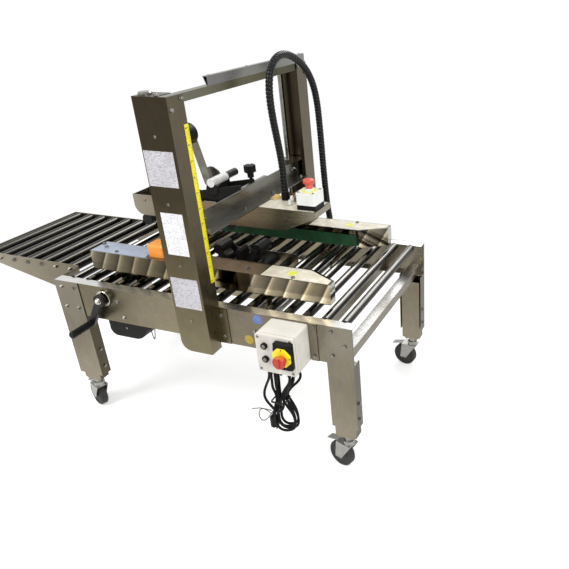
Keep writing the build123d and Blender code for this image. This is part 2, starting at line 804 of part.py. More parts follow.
def build_head():
    """Crossbar, carriages and the housing of the tape head."""
    x0 = crossbar_start
    x1 = x0 + crossbar_flange
    z0 = head_top
    z1 = head_top + crossbar_height
    reach = crossbar_reach
    crossbar = profile_y([
        (x0, z0), (x1, z0), (x1, z0 + sheet), (x0 + sheet, z0 + sheet), (x0 + sheet, z1), (x0, z1)],
        -reach, reach)
    strip_start = x0 + sheet - strip_width
    strip = block(strip_start, x0 + sheet, strip_near, strip_far, z1, z1 + sheet)
    strip += block(strip_start, x0 + sheet, strip_near - sheet, strip_near, z1 + sheet - strip_drop, z1 + sheet)
    keep("head_crossbar", crossbar + strip)
    carriage = block(carriage_start, carriage_start + carriage_width, -carriage_outer, -reach,
                     z0 + fit_gap, z1 - fit_gap)
    carriage -= rod_z(lift_screw_x, -lift_screw_y, screw_radius + fit_gap, z0, z1)
    keep("lift_carriages", carriage, across(carriage))
    half = head_half_width
    side = profile_y([
        (head_start, head_top), (head_start, head_bottom), (head_slope_start, head_bottom),
        (head_end, head_top - head_end_height), (head_end, head_top)], -half, -half + sheet)
    corner = side.edges().filter_by(Axis.Y).sort_by(Axis.X)[:2].sort_by(Axis.Z)[0]
    side = fillet(corner, head_corner_radius)
    inner = half - sheet
    nose = block(head_start, head_start + sheet, -inner, inner, head_top - head_nose_height, head_top)
    tail = block(head_end - sheet, head_end, -inner, inner, head_top - head_end_height, head_top)
    cover = block(head_cover_start, head_end - sheet, -inner, inner, head_top - sheet, head_top)
    bridge = block(head_window_end, head_cover_start, -inner, inner, head_top - sheet, head_top)
    keep("head_housing", side + across(side) + nose + tail + cover + bridge)


def idler_lug():
    """The lug that rises from the far tape plate and carries the idler's shaft."""
    half = idler_lug_width / 2
    lug = block(idler_x - half, idler_x + half, tape_plate_inner, tape_plate_inner + tape_plate_thickness,
                tape_plate_bottom + tape_plate_shoulder, tape_plate_top)
    return lug + rod_y(idler_x, tape_plate_top, half, tape_plate_inner, tape_plate_inner + tape_plate_thickness)


def star_knob():
    """The adjusting knob with its stud and the shelf on the far tape plate."""
    plate_face = tape_plate_inner + tape_plate_thickness
    shelf_z = knob_z - knob_shelf_drop
    shelf = block(knob_x - knob_shelf_width / 2, tape_plate_end, plate_face, knob_y + knob_shelf_width / 2,
                  shelf_z - sheet, shelf_z)
    stud = rod_z(knob_x, knob_y, knob_stud_radius, shelf_z, knob_z)
    neck = rod_z(knob_x, knob_y, knob_neck_radius, knob_z, knob_z + knob_neck_height)
    head = rod_z(knob_x, knob_y, knob_radius, knob_z + knob_neck_height, knob_z + knob_height)
    for lobe in range(knob_lobes):
        turn = 2 * math.pi * lobe / knob_lobes
        head -= rod_z(knob_x + knob_radius * math.cos(turn), knob_y + knob_radius * math.sin(turn),
                      knob_radius / 4, knob_z + knob_neck_height, knob_z + knob_height)
    return shelf + stud + neck + head


def build_tape_head():
    """The tape head's two plates with their spacers, ledges, lug and knob, and its rollers."""
    shoulder = tape_plate_bottom + tape_plate_shoulder
    plate = profile_y([
        (tape_plate_start, tape_plate_bottom), (tape_plate_start, shoulder),
        (tape_plate_start + tape_plate_step, tape_plate_bottom + tape_plate_step_height),
        (tape_plate_end, tape_plate_top), (tape_plate_end, tape_plate_bottom)],
        -tape_plate_inner - tape_plate_thickness, -tape_plate_inner)
    spacers = rod_y(tape_plate_start + tape_spacer_inset, shoulder - tape_spacer_inset, tape_spacer_radius,
                    -tape_plate_inner, tape_plate_inner)
    spacers += rod_y(tape_plate_end - tape_spacer_inset, tape_plate_top - tape_spacer_inset, tape_spacer_radius,
                     -tape_plate_inner, tape_plate_inner)
    side = -head_half_width + sheet
    ledge_z = tape_plate_bottom + tape_ledge_height
    ledges = rod_y(tape_plate_start + tape_ledge_inset, ledge_z, tape_spacer_radius, side,
                   -tape_plate_inner - tape_plate_thickness)
    ledges += rod_y(tape_plate_end - tape_ledge_inset, ledge_z, tape_spacer_radius, side,
                    -tape_plate_inner - tape_plate_thickness)
    body = plate + across(plate) + spacers + ledges + across(ledges) + idler_lug() + star_knob()
    plate_face = tape_plate_inner + tape_plate_thickness
    body -= rod_y(idler_x, tape_plate_top, idler_shaft_radius + pin_gap, tape_plate_inner, plate_face)
    keep("tape_head_plates", body)
    idler = rod_y(idler_x, tape_plate_top, idler_radius, idler_near, tape_plate_inner)
    idler += rod_y(idler_x, tape_plate_top, idler_shaft_radius, tape_plate_inner, plate_face)
    idler += rod_y(idler_x, tape_plate_top, idler_end_radius, plate_face, idler_end_reach)
    front = rod_y(front_press_x, head_bottom - front_press_rise, front_press_radius, side, -side)
    rear = rod_y(rear_press_x, head_bottom - rear_press_rise, rear_press_radius,
                 side + rear_press_gap, -side - rear_press_gap)
    keep("tape_head_rollers", idler, front, rear)


def build_reel():
    """The tape reel's arm and spindle, the disc at its foot, and the hub."""
    near = reel_arm_near_y
    far = near + reel_arm_thickness
    foot_x = tape_plate_start + reel_foot_inset
    foot_z = tape_plate_top - reel_foot_drop
    arm = link((reel_x, reel_z), (foot_x, foot_z), reel_arm_width, near, far)
    arm += rod_y(reel_x, reel_z, reel_spindle_radius, reel_near_y - 6, near)
    foot = rod_y(foot_x, foot_z, reel_foot_radius, far, tape_plate_inner)
    disc = rod_y(foot_x, foot_z + reel_disc_lift, reel_disc_radius, tape_plate_inner - reel_disc_thickness,
                 tape_plate_inner)
    keep("reel_arm", arm + foot + disc)
    hub = rod_y(reel_x, reel_z, reel_radius, reel_near_y, reel_near_y + reel_width)
    hub -= rod_y(reel_x, reel_z, reel_inner_radius, reel_near_y, reel_near_y + reel_width - 8)
    hub += rod_y(reel_x, reel_z, reel_spindle_radius + 8, reel_near_y + 2, reel_near_y + reel_width)
    hub -= rod_y(reel_x, reel_z, reel_spindle_radius + pin_gap, reel_near_y - 1, reel_near_y + reel_width + 1)
    keep("tape_reel_hub", hub)


def build_stop_box():
    """The emergency stop box on the head's cover, with its mushroom button."""
    x0 = stop_box_start
    x1 = x0 + stop_box_size
    y0 = stop_box_near_y
    y1 = y0 + stop_box_size
    mid_x = (x0 + x1) / 2
    mid_y = (y0 + y1) / 2
    split = head_top + stop_box_base_height
    top = head_top + stop_box_height
    collar_top = top + stop_collar_height
    bore = rod_z(mid_x, mid_y, stop_stem_radius + fit_gap, top - stop_bore_depth, collar_top)
    lid = block(x0, x1, y0, y1, split, top)
    lid = fillet(lid.edges().filter_by(Axis.Z), stop_box_radius)
    lid += rod_z(mid_x, mid_y, stop_collar_radius, top, collar_top)
    base = block(x0, x1, y0, y1, head_top, split)
    base = fillet(base.edges().filter_by(Axis.Z), stop_box_radius)
    keep("stop_box_base", base)
    keep("stop_box_lid", lid - bore)
    button_bottom = top + stop_button_rise
    stem = rod_z(mid_x, mid_y, stop_stem_radius, top - stop_stem_depth, button_bottom)
    button = rod_z(mid_x, mid_y, stop_button_radius, button_bottom, button_bottom + stop_button_height)
    button = chamfer(button.edges().sort_by(Axis.Z)[-1], stop_button_edge)
    keep("stop_button", stem + button)


def build_control_box():
    """The control box, its main switch and two push buttons."""
    x0 = control_box_start
    x1 = x0 + control_box_width
    y0 = -rail_outer - control_box_depth
    z0 = control_box_bottom
    z1 = z0 + control_box_height
    body = block(x0, x1, y0, -rail_outer, z0, z1)
    keep("control_box", fillet(body.edges().filter_by(Axis.Y), control_box_radius))
    front = y0 - switch_depth
    base = block(switch_x - switch_width / 2, switch_x + switch_width / 2, front, y0,
                 switch_z - switch_height / 2, switch_z + switch_height / 2)
    base = fillet(base.edges().filter_by(Axis.Y), control_box_radius)
    socket = rod_y(switch_x, switch_z, switch_socket_radius + fit_gap, front, front + switch_socket_depth)
    buttons = [rod_y(button_x, z, button_radius, y0 - button_depth, y0) for z in button_zs]
    keep("box_controls", base - socket, *buttons)
    knob = rod_y(switch_x, switch_z, switch_knob_radius, front - switch_knob_depth, front - 1)
    knob += rod_y(switch_x, switch_z, switch_socket_radius, front - 1, front + switch_socket_depth - 2)
    keep("switch_knob", knob)


def route_tube(points, diameter):
    """A tube along straight runs joined by the largest arcs that fit, and its length."""
    corners = [Vector(*point) for point in points]
    runs = [(b - a).length for a, b in zip(corners, corners[1:])]
    radii = []
    for index in range(1, len(corners) - 1):
        turn = (corners[index] - corners[index - 1]).get_angle(corners[index + 1] - corners[index])
        shorter = min(runs[index - 1], runs[index])
        radii.append(0.45 * shorter / math.tan(math.radians(turn) / 2))
    path = FilletPolyline(*corners, radius=radii)
    start = Plane(origin=corners[0], z_dir=corners[1] - corners[0])
    tube = sweep(start * Circle(diameter / 2), path=path)
    ideal = math.pi * diameter ** 2 / 4 * path.length
    print("tube", round(diameter, 1), "length", round(path.length, 1), "volume ratio",
          round(tube.volume / ideal, 4), "radii", [round(radius) for radius in radii])
    return tube


hose_route = [
    (436, 44, 862), (436, 44, 925), (435, 41, 990), (435, 29, 1060), (436, 14, 1130), (436, 7, 1200),
    (437, 12, 1258), (437, 34, 1304), (437, 78, 1331), (437, 132, 1335), (437, 190, 1320),
    (437, 248, 1291), (437, 299, 1248), (437, 333, 1194), (437, 350, 1130), (436, 357, 1060),
    (436, 360, 980), (436, 361, 900), (436, 364, 820), (436, 368, 745), (436, 377, 682),
    (436, 386, 643), (436, 386, 610)]

lead_route = [
    (588, -425, 425), (588, -425, 404), (577, -423, 376), (562, -420, 347), (550, -417, 320),
    (545, -414, 300), (545, -412, 285), (551, -411, 271), (562, -410, 262), (576, -410, 258),
    (588, -410, 258)]


hank_outline = [
    (588, 330), (588, 250), (570, 236), (552, 214), (586, 214), (592, 178), (622, 172), (652, 205),
    (659, 240), (654, 272), (634, 298), (634, 314), (688, 412), (684, 434), (600, 434), (592, 410)]


def build_cords():
    """The spiral-wrapped hose and the mains lead, with the glands that hold them."""
    keep("head_hose", route_tube(hose_route, hose_diameter))
    hose_x, near_y, near_z = hose_route[0]
    keep("head_hose_gland", rod_z(hose_x, near_y, hose_gland_radius, near_z - hose_gland_length, near_z))
    hose_x, far_y, far_z = hose_route[-1]
    foot = rod_z(hose_x, far_y, hose_gland_radius, far_z - hose_gland_length, far_z)
    bracket_top = far_z - hose_gland_length
    foot += block(hose_x - hose_bracket_width / 2, hose_x + hose_bracket_width / 2, rail_outer,
                  rail_outer + hose_bracket_reach, bracket_top - hose_bracket_thickness, bracket_top)
    keep("mains_lead", route_tube(lead_route, lead_diameter))
    lead_x, lead_y, lead_z = lead_route[0]
    gland = rod_z(lead_x, lead_y, gland_radius, lead_z, control_box_bottom)
    hook_y = -rail_outer - hook_back
    hook = rod_z(hook_x, hook_y, hook_radius, hook_z, control_box_bottom)
    hook += rod_y(hook_x, hook_z, hook_radius, hook_y - hook_reach, hook_y)
    hook += Pos(hook_x, hook_y, hook_z) * Sphere(hook_radius)
    keep("cable_glands", foot, gland, hook)
    near = lead_route[-1][1] - hank_depth / 2
    hank = profile_y(hank_outline, near, near + hank_depth)
    hank -= rod_y(hook_x, hook_z, hook_radius + fit_gap, near, near + hank_depth)
    keep("mains_hank", hank)
    plug_x, plug_z = plug_place
    body = rod_z(plug_x, lead_route[-1][1], plug_radius, plug_z - plug_length, plug_z)
    body = chamfer(body.edges().sort_by(Axis.Z)[-1], plug_radius / 3)
    blades = [block(plug_x + side - 0.8, plug_x + side + 0.8, lead_route[-1][1] - 3, lead_route[-1][1] + 3,
                    plug_z - plug_length - blade_length, plug_z - plug_length) for side in (-6, 6)]
    keep("mains_plug", body + blades[0] + blades[1])


def export():
    """Writes each piece to its own file, moved to the frame of the whole machine."""
    os.makedirs("parts", exist_ok=True)
    for name, solids in pieces.items():
        moved = [Pos(*lane_shift) * solid for solid in solids]
        shape = moved[0] if len(moved) == 1 else Compound(children=moved)
        export_step(shape, "parts/" + name + ".step")


build_bed_frame()
build_rollers()
build_infeed()
build_legs()
build_casters()
build_columns()
build_guide_rods()
build_crank()
build_drives()
build_pit()
build_motor()
build_head()
build_tape_head()
build_reel()
build_stop_box()
build_control_box()
build_cords()
export()
print("pieces", len(pieces))
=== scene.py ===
import math
import bpy
from mathutils import Euler, Matrix, Vector


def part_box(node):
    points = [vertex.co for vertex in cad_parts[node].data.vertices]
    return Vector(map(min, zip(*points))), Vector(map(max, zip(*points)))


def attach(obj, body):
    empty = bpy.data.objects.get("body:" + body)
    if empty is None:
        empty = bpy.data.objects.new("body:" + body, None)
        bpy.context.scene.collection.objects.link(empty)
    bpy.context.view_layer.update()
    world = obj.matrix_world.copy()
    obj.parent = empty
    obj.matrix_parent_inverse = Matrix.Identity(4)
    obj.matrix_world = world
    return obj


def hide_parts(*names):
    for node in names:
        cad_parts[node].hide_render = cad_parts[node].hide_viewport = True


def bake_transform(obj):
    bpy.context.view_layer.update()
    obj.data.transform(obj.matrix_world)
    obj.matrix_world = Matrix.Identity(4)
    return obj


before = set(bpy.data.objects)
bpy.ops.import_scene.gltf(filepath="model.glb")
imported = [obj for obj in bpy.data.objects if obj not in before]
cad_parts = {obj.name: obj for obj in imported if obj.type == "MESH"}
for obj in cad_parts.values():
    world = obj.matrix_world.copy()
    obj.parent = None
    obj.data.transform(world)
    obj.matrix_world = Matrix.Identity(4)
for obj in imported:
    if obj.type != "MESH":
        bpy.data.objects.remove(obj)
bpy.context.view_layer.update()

mm = 0.001
laneShift = sum(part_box("lift_screws")[i].y for i in (0, 1)) / 2  # the middle of the lane


# Helpers for places, selection and nodes. Sizes are millimetres about the middle of the lane.

def at(x, y, z):
    return Vector((x * mm, y * mm + laneShift, z * mm))


def deselectAll():
    if bpy.context.object and bpy.context.object.mode != "OBJECT":
        bpy.ops.object.mode_set(mode="OBJECT")
    bpy.ops.object.select_all(action="DESELECT")


def makeActive(*objects):
    deselectAll()
    for thing in objects:
        thing.select_set(True)
    bpy.context.view_layer.objects.active = objects[0]


def newObject(name, data):
    thing = bpy.data.objects.new(name, data)
    bpy.context.collection.objects.link(thing)
    return thing


def paint(data, finishName):
    data.materials.clear()
    data.materials.append(materials[finishName])


def hexColour(code):  # sRGB hex to the linear colour that a socket takes
    channels = [int(code[i:i + 2], 16) / 255 for i in (1, 3, 5)]
    linear = [c / 12.92 if c <= 0.04045 else ((c + 0.055) / 1.055) ** 2.4 for c in channels]
    return (*linear, 1.0)


def feed(tree, node, inputs):  # a node given as a value stands for its first output
    for key, value in inputs.items():
        if isinstance(value, bpy.types.Node):
            value = value.outputs[0]
        if isinstance(value, bpy.types.NodeSocket):
            tree.links.new(value, node.inputs[key])
        else:
            node.inputs[key].default_value = value


def addNode(tree, kind, inputs=None, **settings):
    node = tree.nodes.new("ShaderNode" + kind)
    for key, value in settings.items():
        setattr(node, key, value)
    feed(tree, node, inputs or {})
    return node


def setRamp(node, stops):
    ramp = node.color_ramp
    while len(ramp.elements) < len(stops):
        ramp.elements.new(1.0)
    for element, (position, code) in zip(ramp.elements, stops):
        element.position = position
        element.color = hexColour(code)


def newMaterial(name):
    material = bpy.data.materials.new(name)
    material.use_nodes = True
    tree = material.node_tree
    tree.nodes.clear()
    output = addNode(tree, "OutputMaterial")
    shader = addNode(tree, "BsdfPrincipled")
    feed(tree, output, {"Surface": shader})
    return material, tree, shader, addNode(tree, "TexCoord").outputs["Object"]


def faceMask(tree, axis, low, high, share):  # 0 to share as a face turns towards an axis
    normal = addNode(tree, "NewGeometry").outputs["Normal"]
    part = addNode(tree, "SeparateXYZ", {0: normal}).outputs[axis]
    return addNode(tree, "MapRange", {0: part, 1: low, 2: high, 4: share})


def paintFaceLight(tree, colour, paintedLight):  # painted light and shade: faces that look along an axis take another tone
    for axis, low, high, code, share in paintedLight:
        mask = faceMask(tree, axis, low, high, share)
        colour = addNode(tree, "Mix", {0: mask, 6: colour, 7: hexColour(code)}, data_type="RGBA").outputs[2]
    return colour


def paintRollerReflections(tree, colour, place, waves, look):  # painted reflections of the bed rollers: slanting lines, one a roller
    axes = addNode(tree, "SeparateXYZ", {0: place})
    slanted = addNode(tree, "Math", {0: axes.outputs["Z"], 1: -look["lean"], 2: axes.outputs["X"]},
                      operation="MULTIPLY_ADD")
    wavy = addNode(tree, "Math", {0: waves, 1: look["wave"], 2: slanted}, operation="MULTIPLY_ADD")
    counted = addNode(tree, "Math", {0: wavy, 1: 1 / (look["pitchMm"] * mm), 2: look["start"]},
                      operation="MULTIPLY_ADD")
    lines = addNode(tree, "ValToRGB", {"Fac": addNode(tree, "Math", {0: counted}, operation="FRACT")})
    setRamp(lines, look["tones"])
    mask = faceMask(tree, "Y", -0.4, -0.9, look["share"])  # the near side only
    return addNode(tree, "Mix", {0: mask, 6: colour, 7: lines}, data_type="RGBA",
                   blend_type="OVERLAY").outputs[2]


# Brushed stainless sheet. It is rolled, then brushed one way, so it shows fine lines along the grain. Its
# tone runs along a span and through broad soft bands: painted reflections of a dim hall over the sheet's own
# colour.
# Faces turned to "paintedLight" take another tone: painted light and shade by the way a face looks.
steelWear = {
    "grainLength": 60,  # times the grain's width
    "grainShare": 0.55,
    "smudgeMm": 70,  # finger marks and dust, which dull the sheet in patches
    "smudgeShare": 0.22,
    "smudgeTone": "#8c8578",
}


def makeSteel(name, look):
    material, tree, shader, place = newMaterial(name)
    # Painted reflection: a tone ramp along the span, broken by broad noise bands
    axis, start, end = look["span"]
    along = addNode(tree, "SeparateXYZ", {0: place}).outputs[axis]
    share = addNode(tree, "MapRange", {0: along, 1: start, 2: end}, clamp=False)
    bandMm, stretch, depth = look["bands"]
    bandPlace = addNode(tree, "Mapping", {"Vector": place, "Scale": [s / (bandMm * mm) for s in stretch]})
    bands = addNode(tree, "TexNoise", {"Vector": bandPlace, "Scale": 1.0, "Detail": 2.0, "Roughness": 0.45})
    shifted = addNode(tree, "Math", {0: bands, 1: depth, 2: share}, operation="MULTIPLY_ADD")
    centred = addNode(tree, "Math", {0: shifted, 1: depth / 2}, operation="SUBTRACT")
    tones = addNode(tree, "ValToRGB", {"Fac": centred})
    setRamp(tones, look["tones"])
    # Painted light and shade by the way a face looks, then painted reflections of the bed rollers
    colour = paintFaceLight(tree, tones.outputs[0], look.get("paintedLight", ()))
    if "paintedRollerReflections" in look:
        colour = paintRollerReflections(tree, colour, place, bands, look["paintedRollerReflections"])
    grainAxis, grainMm = look["grain"]
    grainScale = [1 / (grainMm * mm)] * 3
    grainScale["XYZ".index(grainAxis)] /= steelWear["grainLength"]
    grainPlace = addNode(tree, "Mapping", {"Vector": place, "Scale": grainScale})
    grain = addNode(tree, "TexNoise", {"Vector": grainPlace, "Scale": 1.0, "Detail": 3.0, "Roughness": 0.6})
    brushed = addNode(tree, "Mix", {0: steelWear["grainShare"], 6: colour, 7: grain.outputs["Color"]},
                      data_type="RGBA", blend_type="SOFT_LIGHT")
    smudges = addNode(tree, "TexNoise", {"Vector": place, "Scale": 1 / (steelWear["smudgeMm"] * mm),
                                         "Detail": 5.0, "Roughness": 0.7})
    dulled = addNode(tree, "MapRange", {0: smudges, 1: 0.35, 2: 0.75, 4: steelWear["smudgeShare"]})
    worn = addNode(tree, "Mix", {0: dulled, 6: brushed.outputs[2], 7: hexColour(steelWear["smudgeTone"])},
                   data_type="RGBA", blend_type="MULTIPLY")
    gloss = addNode(tree, "MapRange", {0: grain, 1: 0.3, 2: 0.7, 3: look["rough"] - 0.05,
                                       4: look["rough"] + 0.08})
    bump = addNode(tree, "Bump", {"Strength": 0.08, "Distance": 0.2 * mm, "Height": grain})
    feed(tree, shader, {"Base Color": worn.outputs[2], "Roughness": gloss, "Normal": bump, "Metallic": 1.0})
    return material


# Moulded plastic, rubber, paint and plated or ground steel: a nearly even colour with a fine skin, a
# little dust and a surface that is never quite flat. "split" gives a second pair of tones nearer than
# a y and above a z.
extraSockets = {"metallic": "Metallic", "coat": "Coat Weight", "specular": "Specular IOR Level",
                "clear": "Transmission Weight"}


def makeMoulded(name, row):
    dark, light, patchMm, rough, look = row
    material, tree, shader, place = newMaterial(name)
    cloud = addNode(tree, "TexNoise", {"Vector": place, "Scale": 1 / (patchMm * mm), "Detail": 3.0})
    tones = addNode(tree, "ValToRGB", {"Fac": cloud})
    setRamp(tones, [(0.3, dark), (0.7, light)])
    colour = tones.outputs[0]
    if "split" in look:
        splitY, splitZ, otherDark, otherLight = look["split"]
        other = addNode(tree, "ValToRGB", {"Fac": cloud})
        setRamp(other, [(0.3, otherDark), (0.7, otherLight)])
        axes = addNode(tree, "SeparateXYZ", {0: place})
        nearer = addNode(tree, "Math", {0: axes.outputs["Y"], 1: splitY * mm + laneShift},
                         operation="LESS_THAN")
        above = addNode(tree, "Math", {0: axes.outputs["Z"], 1: splitZ * mm}, operation="GREATER_THAN")
        both = addNode(tree, "Math", {0: nearer, 1: above}, operation="MULTIPLY")
        colour = addNode(tree, "Mix", {0: both, 6: colour, 7: other}, data_type="RGBA").outputs[2]
    skin = addNode(tree, "TexNoise", {"Vector": place, "Scale": 1 / (look.get("skinMm", 0.8) * mm),
                                      "Detail": 2.0})
    gloss = addNode(tree, "MapRange", {0: cloud, 1: 0.3, 2: 0.7, 3: rough - 0.05, 4: rough + 0.06})
    bump = addNode(tree, "Bump", {"Strength": look.get("bump", 0.15), "Distance": 0.3 * mm, "Height": skin})
    # Faces in "paintedLight" take painted light and shade tones
    feed(tree, shader, {"Base Color": paintFaceLight(tree, colour, look.get("paintedLight", ())), "Roughness": gloss,
                        "Normal": bump, "Coat Roughness": 0.12})
    feed(tree, shader, {socket: look[key] for key, socket in extraSockets.items() if key in look})
    return material


# A printed self-adhesive label: matt paper, ruled into plain empty panels, with grey smudges.
def makeLabel(name, look):
    material, tree, shader, place = newMaterial(name)
    flat = addNode(tree, "Mapping", {"Vector": place, "Rotation": (math.radians(90), 0, 0)})
    panels = addNode(tree, "TexBrick", {
        "Vector": flat, "Color1": hexColour(look["panel"]), "Color2": hexColour(look["panelLight"]),
        "Mortar": hexColour(look["line"]), "Scale": 1.0, "Mortar Size": look["lineMm"] * mm,
        "Mortar Smooth": 0.6, "Brick Width": look["panelMm"][0] * mm, "Row Height": look["panelMm"][1] * mm,
    }, offset=0.37, squash=1.0)
    stretched = addNode(tree, "Mapping", {"Vector": flat, "Scale": [1 / (s * mm) for s in look["smudgeMm"]]})
    smudges = addNode(tree, "TexNoise", {"Vector": stretched, "Scale": 1.0, "Detail": 3.0, "Roughness": 0.75})
    greyed = addNode(tree, "MapRange", {0: smudges, 1: 0.47, 2: 0.66, 4: look["depth"]})
    worn = addNode(tree, "Mix", {0: greyed, 6: panels, 7: hexColour(look["smudge"])}, data_type="RGBA")
    feed(tree, shader, {"Base Color": worn.outputs[2], "Roughness": 0.5})
    return material


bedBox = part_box("side_rails")
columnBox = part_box("columns")
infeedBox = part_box("infeed_frame")
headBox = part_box("head_housing")

steelLooks = {  # bands: painted reflection bands, size in mm, stretch, depth; grain: axis, size in mm
    "columnSteel": {
        "span": ("Z", columnBox[1].z, columnBox[0].z),
        "tones": [(0.0, "#41392d"), (0.35, "#494133"), (0.65, "#685f49"), (1.0, "#7b735b")],
        # Faces turned to +X are painted lighter: painted light on the side wall
        "paintedLight": [("X", 0.4, 0.9, "#7a725f", 0.55)],
        "bands": (420, (1.6, 1.0, 0.5), 0.25), "grain": ("Z", 0.9), "rough": 0.3},
    "railSteel": {
        "span": ("X", bedBox[0].x, bedBox[1].x),
        "tones": [(0.0, "#8e866f"), (0.2, "#776f5b"), (0.5, "#8c836e"), (0.75, "#746d5f"), (1.0, "#837c6e")],
        # Up-facing faces are painted near white: a painted sheen
        "paintedLight": [("Z", 0.5, 0.95, "#e2e2e0", 0.95)],
        "bands": (260, (1.0, 1.0, 0.35), 0.45), "grain": ("X", 0.9), "rough": 0.28},
    "infeedSteel": {
        "span": ("X", infeedBox[0].x, infeedBox[1].x),
        "tones": [(0.0, "#b3ab9a"), (0.5, "#98907e"), (1.0, "#7f7765")],
        "bands": (220, (1.0, 1.0, 0.4), 0.4), "grain": ("X", 0.9), "rough": 0.28},
    "legSteel": {
        "span": ("Z", bedBox[1].z, 0.15),
        "tones": [(0.0, "#908a7c"), (0.5, "#7d7666"), (1.0, "#8f8776")],
        # Faces turned to +X are painted darker: painted shade on the side faces
        "paintedLight": [("X", 0.4, 0.9, "#474133", 0.8)],
        "bands": (200, (1.4, 1.0, 0.35), 0.4), "grain": ("Z", 0.9), "rough": 0.3},
    "driveSteel": {
        "span": ("X", bedBox[0].x, bedBox[1].x),
        "tones": [(0.0, "#9a958a"), (0.18, "#8f8878"), (0.45, "#7a715f"), (0.7, "#9a9182"), (1.0, "#b3ab9b")],
        # Up faces take a painted bluish reflection, +X faces are painted lighter; the lines below are painted
        # roller reflections
        "paintedLight": [("Z", 0.5, 0.95, "#8f9199", 0.7), ("X", 0.4, 0.9, "#c4c2bc", 0.7)],
        "paintedRollerReflections": {
            "pitchMm": 70, "lean": 0.55, "start": 0.3, "wave": 0.03, "share": 0.85,
            "tones": [(0.0, "#f6f2e8"), (0.1, "#b9b4a6"), (0.3, "#8d897d"), (0.7, "#6a665b"),
                      (0.92, "#3c392f"), (1.0, "#f6f2e8")]},
        "bands": (180, (1.0, 1.0, 0.5), 0.35), "grain": ("X", 0.8), "rough": 0.075},
    "headSteel": {
        "span": ("X", headBox[0].x, headBox[1].x),
        "tones": [(0.0, "#a09a8c"), (0.3, "#94806a"), (0.62, "#84705a"), (0.8, "#66624c"), (1.0, "#9a9483")],
        "bands": (160, (1.0, 1.0, 0.4), 0.25), "grain": ("X", 0.8), "rough": 0.26},
    "crossbarSteel": {
        "span": ("Y", columnBox[0].y, columnBox[1].y),
        "tones": [(0.0, "#8f8e89"), (0.4, "#79776f"), (0.7, "#84837a"), (1.0, "#6a685f")],
        # Up-facing faces are painted lighter: painted light
        "paintedLight": [("Z", 0.5, 0.95, "#7e7d77", 0.6)],
        "bands": (240, (1.0, 0.7, 1.0), 0.3), "grain": ("Y", 0.8), "rough": 0.28},
    "beamSteel": {
        "span": ("Y", columnBox[0].y, columnBox[1].y),
        "tones": [(0.0, "#77766a"), (0.4, "#65624c"), (0.75, "#5a573f"), (1.0, "#2c2c24")],
        "bands": (300, (1.0, 0.6, 1.0), 0.3), "grain": ("Y", 0.8), "rough": 0.3},
    "coverSteel": {
        "span": ("Y", columnBox[0].y, columnBox[1].y),
        "tones": [(0.0, "#77757a"), (0.5, "#85847f"), (1.0, "#8a8a86")],
        "bands": (300, (1.0, 0.6, 1.0), 0.3), "grain": ("Y", 0.8), "rough": 0.34},
}
